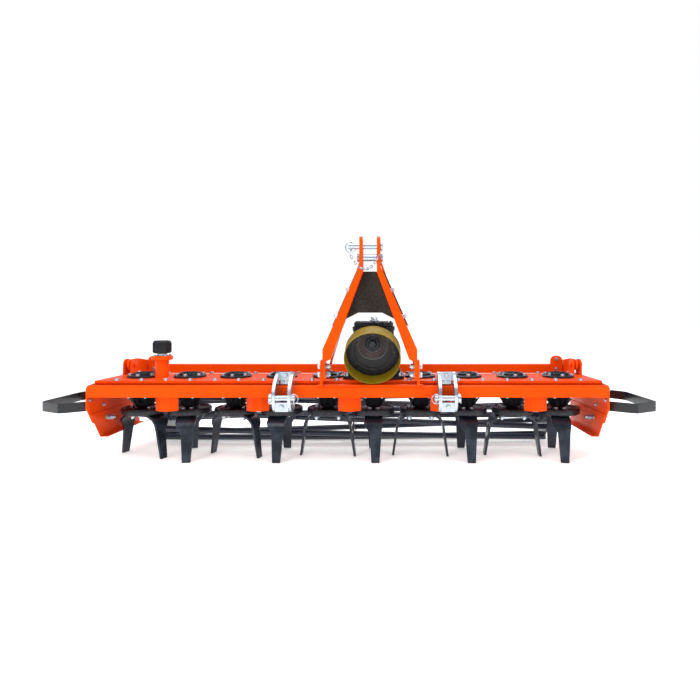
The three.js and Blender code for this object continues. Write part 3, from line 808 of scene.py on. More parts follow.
def circle_of(count: int, radius: float, centre: Point, outward: Point, start: float = 0.0) -> list[Matrix]:
    """Places for fasteners on a circle.

    Args:
        count: How many.
        radius: The circle's radius.
        centre: Its middle.
        outward: The direction that they face.
        start: The angle of the first.

    Returns:
        A matrix for each.
    """
    middle, out = seat(centre, outward), Matrix.Translation((radius, 0, 0))
    return [
        middle @ Matrix.Rotation(start + TURN * i / count, 4, "Z") @ out @ Matrix.Rotation(0.35 * i, 4, "Z")
        for i in range(count)
    ]


class Fastener(Enum):
    """The hexagon fasteners on the machine: what stands above the surface."""

    BOLT = "bolt"
    NUT = "nut"

    def at(self, size: float, places: Iterable[Matrix]) -> Piece:
        """Puts one fastener on each place: a washer under a head, or under a nut with its stud.

        Args:
            size: The thread's diameter.
            places: Where they sit, as seat() gives it.

        Returns:
            All of them, as one object.
        """
        washer = 0.16 * size
        head = washer + (0.64 if self is Fastener.BOLT else 0.8) * size
        parts = [rod((0, 0, 0), (0, 0, washer), 1.05 * size, SMALL_ROUND, 0.1 * washer),
                 rod((0, 0, washer), (0, 0, head), 0.86 * size, HEX, 0.09 * size)]
        if self is Fastener.NUT:
            parts.append(rod((0, 0, washer), (0, 0, head + 0.35 * size), size / 2, 12, 0.08 * size))
        else:
            parts.append(rod((0, 0, head - 0.001), (0, 0, head + 0.04 * size), 0.62 * size, 18, 0.0))
        return scatter(join(parts), places)


class Bench:
    """Turns the frame's nodes into finished pieces and puts new ones in their place."""

    def __init__(self, frame: dict) -> None:
        """Finds the rotor row, which the assemblies are drawn about.
        """
        self.frame = frame
        low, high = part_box("rotor_06")
        self.row = (low.y + high.y) / 2

    def copy_of(self, node: str) -> Piece:
        """A merged copy of a frame node, drawn about the rotor row.

        Args:
            node: The node's name.

        Returns:
            The copy, with its flat faces made whole.
        """
        source = self.frame["nodes"][node]
        piece = bpy.data.objects.new(node, source.data.copy())
        bpy.context.scene.collection.objects.link(piece)
        piece.data.transform(Matrix.Translation((0, -self.row, 0)))
        with editing(piece):
            bpy.ops.mesh.remove_doubles(threshold=MERGE)
            bpy.ops.mesh.dissolve_limited(angle_limit=math.radians(0.6))
        return piece

    def deliver(self, piece: Piece, name: str, finish: Finish, nodes: Sequence[str] = (),
                body: str = "root", smooth: float = 38.0, offset: Point = (0, 0, 0)) -> None:
        """Finishes a piece and hands it to the frame.

        Args:
            piece: The piece, drawn about the rotor row.
            name: Its name.
            finish: Its finish.
            nodes: The frame nodes that it stands for.
            body: The body that it rides on.
            smooth: Edges flatter than this many degrees are shaded smooth.
            offset: Where its own zero lies from the row's.
        """
        piece.data.transform(Matrix.Translation(Vector(offset) + Vector((0, self.row, 0))))
        settle(piece)
        bpy.ops.object.shade_smooth_by_angle(angle=math.radians(smooth))
        apply(piece, "WEIGHTED_NORMAL", keep_sharp=True, weight=60)
        piece.name = piece.data.name = name
        piece.data.materials.clear()
        piece.data.materials.append(dressed(finish))
        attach(piece, body)
        if nodes:
            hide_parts(*nodes)
        LOG.info("%s on %s, %d faces", name, body, len(piece.data.polygons))

    def dress(self, node: str, name: str, finish: Finish, edge: float, body: str = "root",
              smooth: float = 38.0) -> None:
        """Finishes a copy of one node, with its edges rounded."""
        self.deliver(chamfer(self.copy_of(node), edge), name, finish, [node], body, smooth)


# ---------------------------------------------------------------- assemblies
@dataclass
class Bed:
    """Gear trough with its lid, bearings and breather post, and the tool bar in front of it."""

    half_length: float = 1.296
    half_width: float = 0.146
    flange: float = 0.165
    bottom: float = 0.345
    top: float = 0.417
    lid_bottom: float = 0.4173
    lid_top: float = 0.425
    wall: float = 0.006
    post: Point = (-0.990, -0.080, 0.425)
    pivot: tuple[float, float] = (0.125, 0.480)
    lugs: tuple[float, ...] = (-1.290, -1.248, 1.240, 1.282)
    lug_hole: float = 0.0136
    housing_circle: float = 0.0875
    cap_circle: float = 0.0675
    stone_guards: tuple[float, ...] = (-0.930, -0.465, 0.005, 0.477, 0.957)
    vee: Outline = ((-0.056, -0.156, -0.023, -0.179), (-0.022, -0.179, 0.022, -0.179),
                    (0.023, -0.179, 0.056, -0.156))    # the seams under one stone guard, end to end
    foot_plate: tuple[float, float] = (-0.145, 0.369)

    def trough(self) -> Piece:
        """Draws the folded channel with the flanges that the lid is bolted to.

        Returns:
            The trough.
        """
        end, width, low = self.half_length, self.half_width, self.top - self.wall
        channel = block((-end, -width, self.bottom), (end, width, self.top), 0)
        bpy.context.tool_settings.mesh_select_mode = (False, False, True)
        mesh = channel.data
        for group in (mesh.vertices, mesh.edges, mesh.polygons):
            group.foreach_set("select", [False] * len(group))
        for face in mesh.polygons:
            face.select = face.normal.z > 0.9
        with editing(channel, everything=False):
            bpy.ops.mesh.inset(thickness=self.wall)
            bpy.ops.transform.translate(value=(0, 0, self.bottom + self.wall - self.top))
        near = width - 0.001
        flanges = [block((-end, y, low), (end, y + self.flange - near, self.top))
                   for y in (-self.flange, near)]
        return join([chamfer(channel, 0.0025), *flanges])

    def housings(self) -> Piece:
        """Draws the ten lower bearing housings, each with six ribs.

        Returns:
            All ten.
        """
        top = self.bottom - 0.0002
        body = lathe([
            (0.0295, 0.269), (0.040, 0.269), (0.043, 0.272), (0.048, 0.290), (0.055, 0.306), (0.068, 0.321),
            (0.078, 0.3275), (0.092, 0.3290), (0.0975, 0.332), (0.098, 0.335), (0.098, top), (0.0295, top),
        ], Axis.Z)
        rib = plate([(0.042, 0.276), (0.048, 0.276), (0.086, 0.3295), (0.086, 0.334), (0.050, 0.334)],
                    Axis.Y, -0.003, 0.003)
        return in_row(join([body, around(rib, 6, 0.5)]), ROTOR_X.values())

    def lid(self) -> Piece:
        """Draws the cover plate, open over the driven rotor, and the lugs for the roller's levers.

        Returns:
            The lid.
        """
        end, hole = self.half_length, ROTOR_X[DRIVEN]
        cover = block((-end, -self.flange, self.lid_bottom), (end, self.flange, self.lid_top), 0)
        carve(cover, rod((hole, 0, 0.40), (hole, 0, 0.45), 0.060, ROUND, 0))
        pieces = [chamfer(cover, 0.0012)]
        (y, z), foot = self.pivot, self.lid_top - 0.0005
        for low in self.lugs:
            lug = plate([(y - 0.040, foot), (y + 0.040, foot), (y + 0.034, z + 0.032, 0.030),
                         (y - 0.034, z + 0.032, 0.030)], Axis.X, low, low + 0.008, 0)
            carve(lug, rod((low - 0.01, y, z), (low + 0.02, y, z), self.lug_hole, edge=0))
            pieces.append(chamfer(lug, 0.001))
        return join(pieces)

    def caps(self, spots: Sequence[float]) -> Piece:
        """Draws the upper bearing caps: a flange, a raised ring, ribs and a plug.

        Args:
            spots: The X of each.

        Returns:
            All of them.
        """
        cap = lathe([
            (0, 0.0002), (0.083, 0.0002), (0.083, 0.009), (0.079, 0.012), (0.056, 0.0125), (0.0545, 0.0225),
            (0.051, 0.025), (0.043, 0.025), (0.040, 0.0175), (0.019, 0.0175), (0.017, 0.0195), (0, 0.0195),
        ], Axis.Z, (0, 0, self.lid_top))
        rib = block((0.020, -0.002, self.lid_top + 0.0165), (0.042, 0.002, self.lid_top + 0.0225), 0.0008)
        return in_row(join([cap, around(rib, 8)]), spots)

    def lid_bolts(self) -> Piece:
        """Draws the bolts along both edges of the lid, with the nuts under its rear edge.

        Returns:
            All of them.
        """
        edge = self.flange - 0.0125
        spots = [(x + side * PITCH / 4, y) for x in ROTOR_X.values()
                 for side in (-1, 1) for y in (-edge, edge)]
        clear = [(x, y) for x, y in spots if not (y > 0 and 0.03 < abs(abs(x) - 1.22) < 0.08)]
        heads = Fastener.BOLT.at(0.0135, [seat((x, y, self.lid_top), UP, 3 * x) for x, y in clear])
        nuts = Fastener.NUT.at(0.009, [seat((x, y, self.top - self.wall), DOWN, 5 * x)
                                       for x, y in clear if y > 0])
        return join([heads, nuts])

    def breather(self) -> tuple[Piece, Piece]:
        """Draws the painted filler post with its flange, and the plated neck on it.

        Returns:
            The post and the neck.
        """
        post = lathe([
            (0, 0), (0.0372, 0), (0.0372, 0.004), (0.034, 0.008), (0.034, 0.096), (0.0375, 0.100),
            (0.051, 0.100), (0.053, 0.102), (0.053, 0.119), (0.051, 0.121), (0, 0.121),
        ], Axis.Z, self.post)
        top = (*self.post[:2], self.post[2] + 0.1212)
        neck = lathe([(0, 0), (0.026, 0), (0.026, 0.011), (0.0235, 0.014), (0.019, 0.014),
                      (0.019, 0.049), (0, 0.049)], Axis.Z, top)
        return post, join([neck, Fastener.BOLT.at(0.008, circle_of(4, 0.041, top, UP, math.pi / 4))])

    def tool_bar(self, bench: Bench) -> Piece:
        """Draws the tool bar, with the weld seams of the stone guards and the foot plate.

        Args:
            bench: Where the bar's shape comes from.

        Returns:
            The bar.
        """
        low, high = 0.3458, 0.4055
        pieces = [chamfer(bench.copy_of("front_beam"), 0.0022)]
        for x in self.stone_guards:
            pieces += [self.bead((x + u, y, low), (x + v, end_y, low), 0.0028) for u, y, v, end_y in self.vee]
        pieces += [self.bead((x, -0.216, high), (x, -0.170, high), 0.003) for x in self.foot_plate]
        start, end = self.foot_plate
        pieces.append(self.bead((start - 0.008, -0.2222, 0.4045), (end + 0.008, -0.2222, 0.4045), 0.0026))
        return join(pieces)

    @staticmethod
    def bead(start: Point, end: Point, radius: float) -> Piece:
        """A weld bead: overlapping ripples along a line.

        Args:
            start: One end of the seam.
            end: The other end.
            radius: Half the width of the bead.

        Returns:
            The bead.
        """
        first, last = Vector(start), Vector(end)
        length = (last - first).length
        count = max(4, int(length / (1.6 * radius)))
        profile = [(0.0, 0.0)]
        for i in range(count):
            profile.append((radius * 0.8, length * (i + 0.1) / count))
            profile.append((radius, length * (i + 0.55) / count))
        piece = lathe([*profile, (0.0, length)], Axis.Z, steps=8)
        piece.data.transform(seat(first, last - first))
        return piece

    def build(self, bench: Bench) -> None:
        """Builds the bed and hands its pieces over.

        Args:
            bench: Takes each finished piece.
        """
        capped = [x for number, x in ROTOR_X.items() if number != DRIVEN]
        under = [place for x in ROTOR_X.values()
                 for place in circle_of(6, self.housing_circle, (x, 0, 0.3292), DOWN)]
        over = [place for x in capped
                for place in circle_of(6, self.cap_circle, (x, 0, self.lid_top + 0.012), UP, math.pi / 6)]
        bench.deliver(self.trough(), "gear_trough_channel", Finish.ORANGE, ["gear_trough"])
        bench.deliver(self.housings(), "lower_bearing_housings", Finish.CAST)
        bench.deliver(Fastener.BOLT.at(0.010, under), "lower_housing_bolts", Finish.ZINC)
        bench.deliver(self.lid(), "trough_cover", Finish.ORANGE, ["trough_lid"])
        bench.deliver(self.caps(capped), "upper_bearing_caps", Finish.CAST)
        bench.deliver(Fastener.BOLT.at(0.0125, over), "bearing_cap_bolts", Finish.ZINC)
        bench.deliver(self.lid_bolts(), "cover_bolts", Finish.ZINC)
        post, neck = self.breather()
        bench.deliver(post, "filler_post", Finish.ORANGE)
        bench.deliver(neck, "filler_neck", Finish.ZINC)
        bench.deliver(self.tool_bar(bench), "tool_bar", Finish.ORANGE, ["front_beam"])


@dataclass
class BreatherCap:
    """The ribbed cap that screws onto the filler neck."""

    place: Point = (-0.990, -0.080, 0.0)
    bottom: float = 0.5605
    top: float = 0.626
    radius: float = 0.0445
    ribs: int = 36

    def build(self, bench: Bench) -> None:
        """Builds the cap and hands it over.

        Args:
            bench: Takes the finished cap.
        """
        low, high, r = self.bottom, self.top, self.radius
        shell = lathe([
            (0, high - 0.020), (0.0205, high - 0.020), (0.0205, low), (r - 0.003, low), (r, low + 0.004),
            (r, high - 0.010), (r - 0.002, high - 0.004), (r - 0.007, high), (0.030, high),
            (0.028, high - 0.002), (0, high - 0.002),
        ], Axis.Z)
        rib = block((r - 0.001, -0.0013, low + 0.006), (r + 0.0015, 0.0013, high - 0.012), 0.0006)
        grip = block((-0.024, -0.003, high - 0.0025), (0.024, 0.003, high - 0.0002))
        cap = join([shell, around(rib, self.ribs), grip])
        bench.deliver(cap, "breather_cap_ribbed", Finish.CAP, ["breather_cap"], "breather_cap",
                      offset=self.place)


@dataclass
class Rotors:
    """Tine holders on their shafts, the gears that drive them, and the tines bolted under them."""

    rim: float = 0.112
    bottom: float = 0.2293
    plain_top: float = 0.4168
    driven_top: float = 0.536
    gear_root: float = 0.1125
    gear_tip: float = 0.1345
    teeth: int = 17
    phases: tuple[float, ...] = (-20, 10, -14, -4, 0, 0, 0, -2, 0, -10)    # degrees off square at rest

    def holder(self, top: float) -> Piece:
        """Draws one holder with its shaft, its gear and the two jaws that the tines sit under.

        Args:
            top: The height of the shaft's end.

        Returns:
            The holder, about X = 0.
        """
        b, r, root, tip = self.bottom, self.rim, self.gear_root, self.gear_tip
        body = lathe([
            (0, b), (r - 0.010, b), (r - 0.004, b + 0.003), (r, b + 0.009), (r, b + 0.028),
            (r - 0.004, b + 0.034), (r - 0.012, b + 0.0345), (r - 0.018, b + 0.028), (0.072, b + 0.021),
            (0.052, b + 0.024), (0.040, b + 0.031), (0.026, b + 0.034), (0.026, 0.356), (0.044, 0.356),
            (0.044, 0.408), (0.026, 0.408), (0.026, top - 0.002), (0.024, top), (0, top),
        ], Axis.Z)
        tooth = ((root, -0.118), (tip, -0.036), (tip, 0.036), (root, 0.118))
        gear = plate(toothed(self.teeth, tooth), Axis.Z, 0.364, 0.402, 0)
        jaw = block((0.036, -0.036, b + 0.012), (0.092, 0.036, b + 0.0285), 0.004)
        return join([body, gear, around(jaw, 2)])

    def bolts(self) -> Piece:
        """Draws two bolts through each tine: heads on the jaws and nuts under the tine's flat.

        Returns:
            All four, about X = 0.
        """
        spots = [(side * 0.060, y) for side in (-1, 1) for y in (-0.022, 0.022)]
        top, low = self.bottom + 0.0285, self.bottom - 0.0125
        return join([Fastener.BOLT.at(0.016, [seat((x, y, top), UP, 9 * y) for x, y in spots]),
                     Fastener.NUT.at(0.016, [seat((x, y, low), DOWN, 7 * x + y) for x, y in spots])])

    def build(self, bench: Bench) -> None:
        """Builds every rotor and hands its pieces over.

        Args:
            bench: Takes each finished piece.
        """
        plain, driven, bolts = self.holder(self.plain_top), self.holder(self.driven_top), self.bolts()
        driven = join([driven, rod((0, 0, 0.535), (0, 0, 0.596), 0.020)])
        for (number, x), phase in zip(ROTOR_X.items(), self.phases):
            body = f"rotor_{number:02d}"
            shift = Matrix.Translation((x, 0, 0))
            turn = Matrix.Rotation(math.radians((0 if number % 2 else 90) + phase), 4, "Z")
            holder = twin(driven if number == DRIVEN else plain, shift)
            bench.deliver(holder, f"{body}_holder", Finish.CAST, [body], body)
            bench.deliver(twin(bolts, shift @ turn), f"{body}_tine_bolts", Finish.ZINC, body=body)
            for letter in "ab":
                node = f"tine_{number:02d}_{letter}"
                bench.dress(node, f"{node}_blade", Finish.TINE, 0.0022, body, 24)
        for template in (plain, driven, bolts):
            bpy.data.objects.remove(template)


@dataclass
class Sides:
    """End plates, the deflector sheets inside them, and the bent hoops that guard the ends."""

    inner: float = 1.303
    plate: float = 0.008
    slots: tuple[float, float] = (-0.060, 0.215)
    stud_z: float = 0.220
    spring: float = 0.034
    coils: int = 5
    hoop_bolts: tuple[float, float] = (-0.080, 0.222)
    hoop_z: float = 0.2885
    press: Outline = ((0.005, 0.196), (0.150, 0.196), (0.168, 0.208), (0.150, 0.220), (0.005, 0.220),
                      (-0.013, 0.208))
    end_bolts: Outline = ((-0.190, 0.385), (-0.100, 0.370), (0.100, 0.370), (0.250, 0.392))

    def stud(self, x: float, y: float, side: int) -> list[Piece]:
        """Draws the spring and nuts that hold a deflector against its end plate.

        Args:
            x: The inner face of the deflector.
            y: The stud's place.
            side: 1 on the right, -1 on the left.

        Returns:
            The stud, the spring, the washer and both nuts.
        """
        z, end, steps, reach = self.stud_z, x - self.spring, 12, 0.0115
        coil = []
        for i in range(self.coils * steps + 1):
            angle = TURN * i / steps
            place = x - 0.002 - (self.spring - 0.004) * i / (self.coils * steps)
            coil.append((place * side, y + reach * math.cos(angle), z + reach * math.sin(angle)))
        outer = self.inner + self.plate + 0.0004
        return [rod((x * side, y, z), ((end - 0.016) * side, y, z), 0.006, 16), wire(coil, 0.0022),
                rod((end * side, y, z), ((end - 0.002) * side, y, z), 0.015),
                Fastener.NUT.at(0.011, [seat(((end - 0.001) * side, y, z), (-side, 0, 0)),
                                        seat((outer * side, y, z), (side, 0, 0))])]

    def build(self, bench: Bench) -> None:
        """Builds both sides and hands their pieces over.

        Args:
            bench: Takes each finished piece.
        """
        for name, side in SIDES:
            body = f"side_deflector_{name}"
            outer, face, sheet = self.inner + self.plate, self.inner - 0.0002, self.inner - 0.0053
            outward, inward = (side, 0, 0), (-side, 0, 0)
            bench.dress(f"side_plate_{name}", f"end_plate_{name}", Finish.ORANGE, 0.0014)
            # a pressed bead stiffens the sheet between its studs
            bead = wire([(sheet * side, y, z) for y, z in self.press], 0.0028, closed=True)
            deflector = join([chamfer(bench.copy_of(body), 0.0009), bead])
            bench.deliver(deflector, f"deflector_sheet_{name}", Finish.ORANGE, [body], body)
            studs = [part for y in self.slots for part in self.stud(sheet, y, side)]
            bench.deliver(join(studs), f"deflector_studs_{name}", Finish.ZINC, body=body)
            bench.dress(f"guard_hoop_{name}", f"side_hoop_{name}", Finish.BLACK, 0.0012)
            heads = [seat(((outer + 0.0083) * side, y, self.hoop_z), outward, 4 * y) for y in self.hoop_bolts]
            nuts = [seat((face * side, y, self.hoop_z), inward, 3 * y) for y in self.hoop_bolts]
            bolts = join([Fastener.BOLT.at(0.010, heads), Fastener.NUT.at(0.010, nuts)])
            bench.deliver(bolts, f"hoop_bolts_{name}", Finish.ZINC)
            outside = [seat((outer * side, y, z), outward, z) for y, z in self.end_bolts]
            inside = [seat((face * side, -0.190, 0.330), inward, -0.190)]
            fixings = join([Fastener.BOLT.at(0.012, outside), Fastener.BOLT.at(0.010, inside)])
            bench.deliver(fixings, f"end_plate_bolts_{name}", Finish.ZINC)


@dataclass
class Gearbox:
    """The bevel gearbox: a ribbed casting with its cover, boss, shaft seal and bolts."""

    half: float = 0.1075
    front: float = -0.105
    rear: float = 0.115
    foot_bottom: float = 0.4253
    foot_top: float = 0.441
    top: float = 0.700
    cover_top: float = 0.728
    shaft_z: float = 0.615
    shaft_hole: float = 0.0195
    rotor_hole: float = 0.0295
    boss: float = 0.080
    boss_length: float = 0.091
    plug_y: float = 0.005

    def box(self, inset: float, radius: float, low: float, high: float, edge: float = 0.0) -> Piece:
        """The gearbox's outline seen from above, drawn in by inset, from one height to another."""
        x, front, rear = self.half - inset, self.front + inset, self.rear - inset
        return plate([(-x, front, radius), (x, front, radius), (x, rear, radius), (-x, rear, radius)],
                     Axis.Z, low, high, edge)

    def nose(self) -> Piece:
        """Draws the stepped boss round the input shaft.

        Returns:
            The boss.
        """
        b, end = self.boss, -self.boss_length
        boss = lathe([
            (0, 0.004), (0.088, 0.004), (0.088, -0.008), (b, -0.016), (b, end + 0.003), (b - 0.003, end),
            (0.060, end), (0.058, end + 0.004), (0.041, end + 0.004), (0.038, end - 0.002),
            (0.038, -0.106), (0.035, -0.109), (0, -0.109),
        ], Axis.Y, (0, self.front, self.shaft_z))
        return carve(boss, rod((0, -0.25, self.shaft_z), (0, self.front + 0.03, self.shaft_z),
                               self.shaft_hole, ROUND, 0))

    def casting(self) -> Piece:
        """Draws the hollow body with its foot, boss and ribs.

        Returns:
            The casting.
        """
        top, floor, half, front = self.top, self.foot_top - 0.002, self.half, self.front
        post = ((0, 0, 0.40), (0, 0, 0.56), self.rotor_hole, ROUND, 0)
        body = self.box(0, 0.030, self.foot_bottom + 0.010, top)
        carve(body, self.box(0.015, 0.018, 0.530, top + 0.02), rod(*post))
        nose = self.nose()
        foot = plate([(-0.162, -0.116, 0.040), (0.162, -0.116, 0.040), (0.162, 0.155, 0.060),
                      (-0.162, 0.155, 0.060)], Axis.Z, self.foot_bottom, self.foot_top, 0)
        carve(foot, rod(*post))
        ribs = [
            plate([(side * (half - 0.002), floor), (side * 0.150, floor), (side * 0.128, 0.500),
                   (side * (half + 0.006), 0.640), (side * (half - 0.002), 0.660)],
                  Axis.Y, y - 0.005, y + 0.005, 0.002)
            for side in (-1, 1) for y in (-0.070, 0.000, 0.070)
        ]
        band = self.box(-0.004, 0.034, top - 0.022, top)
        carve(band, self.box(0.014, 0.018, top - 0.03, top + 0.02))
        webs = [
            plate([(front + 0.002, floor), (front - 0.010, floor), (front - 0.010, 0.480),
                   (front - 0.045, 0.545), (front + 0.002, 0.545)], Axis.X, x - 0.005, x + 0.005, 0.002)
            for x in (-0.045, 0.045)
        ]
        return join([chamfer(body, 0.003), nose, chamfer(foot, 0.003), *ribs, chamfer(band, 0.002), *webs])

    def cover(self) -> Piece:
        """Draws the cover with its raised pad.

        Returns:
            The cover.
        """
        pad = self.box(0.030, 0.020, self.cover_top - 0.007, self.cover_top, 0.003)
        return join([self.box(0.004, 0.027, self.top + 0.0003, self.cover_top - 0.006, 0.003), pad])

    def cover_screws(self) -> Piece:
        """Draws the low screws round the cover's pad.

        Returns:
            All of them.
        """
        z, edge = self.cover_top - 0.006, self.half - 0.018
        places = [seat((x, y, z), UP, 8 * x + y) for x in (-edge, 0, edge)
                  for y in (self.front + 0.018, self.rear - 0.018)]
        places += [seat((x, self.plug_y, z), UP, x) for x in (-edge, edge)]
        return Fastener.BOLT.at(0.007, places)

    def bolts(self) -> Piece:
        """Draws the nuts on the foot, and the two plugs.

        Returns:
            All of them.
        """
        foot = [seat((x, y, self.foot_top), UP, 5 * y) for x in (-0.138, 0.138)
                for y in (-0.092, -0.035, 0.035, 0.100)]
        y, top, side = self.plug_y, self.cover_top, self.half
        plug = rod((0, y, top - 0.001), (0, y, top + 0.006), 0.024)
        head = rod((0, y, top + 0.005), (0, y, top + 0.021), 0.019, HEX, 0.0015)
        drain = rod((side - 0.001, -0.040, 0.480), (side + 0.010, -0.040, 0.480), 0.014, HEX)
        return join([Fastener.NUT.at(0.014, foot), plug, head, drain])

    def build(self, bench: Bench) -> None:
        """Builds the gearbox and hands its pieces over.

        Args:
            bench: Takes each finished piece.
        """
        for piece, name, finish, nodes in (
            (self.casting(), "gearbox_casting", Finish.CAST, ["gearbox_housing"]),
            (self.cover(), "gearbox_lid", Finish.CAST, ["gearbox_cover"]),
            (self.cover_screws(), "gearbox_lid_screws", Finish.CAST, []),
            (self.bolts(), "gearbox_bolts", Finish.ZINC, []),
        ):
            bench.deliver(piece, name, finish, nodes, offset=(ROTOR_X[DRIVEN], 0, 0))


@dataclass
class Drive:
    """The splined input shaft, and the drum that guards it with its stepped back plate."""

    x: float = ROTOR_X[DRIVEN]
    z: float = 0.615
    shaft: float = 0.0172
    nose: float = -0.262
    shoulder: float = -0.200
    drum: float = 0.141
    wall: float = 0.004
    length: float = 0.088
    tilt: float = math.radians(22)
    mouth: tuple[float, float] = (-0.258, 0.543)
    seal_y: float = -0.1965
    slot_circle: float = 0.0715
    boss_hole: float = 0.0812
    groove: tuple[float, float] = (-0.250, -0.244)

    def input_shaft(self, bench: Bench) -> Piece:
        """Draws the plain shaft behind the seal, and six splines with a locking groove in front.

        Args:
            bench: Where the plain shaft comes from.

        Returns:
            The shaft.
        """
        plain = bench.copy_of("input_shaft")
        with editing(plain):
            bpy.ops.mesh.bisect(plane_co=(0, self.shoulder, 0), plane_no=(0, 1, 0), use_fill=True,
                                clear_inner=True)
        tip, root = self.shaft, self.shaft - 0.0026
        spline = ((root, -0.30), (tip, -0.24), (tip, 0.0), (tip, 0.24), (root, 0.30))
        outline = toothed(6, spline, (self.x, self.z))
        near = plate(outline, Axis.Y, self.nose, self.groove[0], 0.0006)
        far = plate(outline, Axis.Y, self.groove[1], self.shoulder, 0.0006)
        core = rod((self.x, -0.255, self.z), (self.x, -0.195, self.z), self.shaft - 0.0035, edge=0)
        return join([plain, near, far, core])

    def tipped(self, piece: Piece, over_boss: bool = True) -> Piece:
        """Tips a piece drawn from the drum's mouth along +Y, and puts it in place.

        Args:
            piece: The piece.
            over_boss: Whether it is cut out where the gearbox's boss goes through it.

        Returns:
            The same piece.
        """
        piece.data.transform(Matrix.Translation((self.x, *self.mouth)) @ Matrix.Rotation(self.tilt, 4, "X"))
        if over_boss:
            carve(piece, rod((self.x, -0.236, self.z), (self.x, -0.05, self.z), self.boss_hole, ROUND, 0))
        return piece

    def guard(self, bench: Bench) -> None:
        """Builds the drum, its back plate and the screws between them.

        Args:
            bench: Takes each finished piece.
        """
        r, bore, end = self.drum, self.drum - self.wall, self.length
        shell = lathe([
            (bore, 0.004), (bore + 0.0008, 0.001), (r - 0.0015, 0), (r, 0.0015), (r, 0.006),
            (r - 0.001, 0.009), (r - 0.001, end - 0.012), (r, end - 0.008), (r, end - 0.003),
            (r - 0.003, end), (r - 0.024, end), (r - 0.024, end - 0.003), (bore - 0.001, end - 0.004),
            (bore - 0.001, 0.010),
        ], Axis.Y, steps=72)
        bench.deliver(self.tipped(shell), "drive_guard_drum", Finish.GUARD, ["pto_guard"])
        back = lathe([
            (0.030, -0.0045), (0.137, -0.0045), (0.1365, -0.0075), (0.1190, -0.0085), (0.1170, -0.0125),
            (0.1090, -0.0125), (0.1075, -0.0085), (0.0980, -0.0080), (0.0965, -0.0100), (0.0920, -0.0100),
            (0.0905, -0.0075), (0.030, -0.0075),
        ], Axis.Y, (0, end, 0), 72)
        bench.deliver(self.tipped(back), "drive_guard_back_plate", Finish.CAP)
        screws = Fastener.BOLT.at(0.005, circle_of(6, 0.1275, (0, end - 0.0082, 0), AHEAD, math.pi / 6))
        bench.deliver(self.tipped(screws, False), "drive_guard_screws", Finish.CAST)

    def seal(self, bench: Bench) -> None:
        """Builds the seal's slotted flange and its snap rings.

        Args:
            bench: Takes each finished piece.
        """
        flange = lathe([
            (0.0395, 0), (0.0790, 0), (0.0800, -0.0020), (0.0800, -0.0045), (0.0785, -0.0060),
            (0.0650, -0.0060), (0.0640, -0.0050), (0.0500, -0.0050), (0.0485, -0.0085), (0.0395, -0.0085),
        ], Axis.Y, (self.x, self.seal_y, self.z))
        slot = [(self.slot_circle, math.pi / 4 + step) for step in (-0.20, 0.0, 0.20)]
        for u, v in toothed(4, slot, (self.x, self.z)):
            carve(flange, rod((u, -0.21, v), (u, -0.19, v), 0.0042, 16, 0))
        bench.deliver(flange, "shaft_seal_flange", Finish.SEAL)
        rims = [ring((self.x, y, self.z), (0, 1, 0), radius, 0.0011)
                for radius, y in ((0.0783, -0.2022), (0.0405, -0.2058))]
        bench.deliver(join(rims), "shaft_seal_snap_rings", Finish.MACHINED)

    def build(self, bench: Bench) -> None:
        """Builds the drive and hands its pieces over.

        Args:
            bench: Takes each finished piece.
        """
        self.guard(bench)
        self.seal(bench)
        shaft = self.input_shaft(bench)
        bench.deliver(shaft, "splined_input_shaft", Finish.OILED, ["input_shaft"], "input_shaft")
        gear = bench.copy_of("crown_gear")
        bench.deliver(gear, "crown_wheel", Finish.MACHINED, ["crown_gear"], f"rotor_{DRIVEN:02d}")


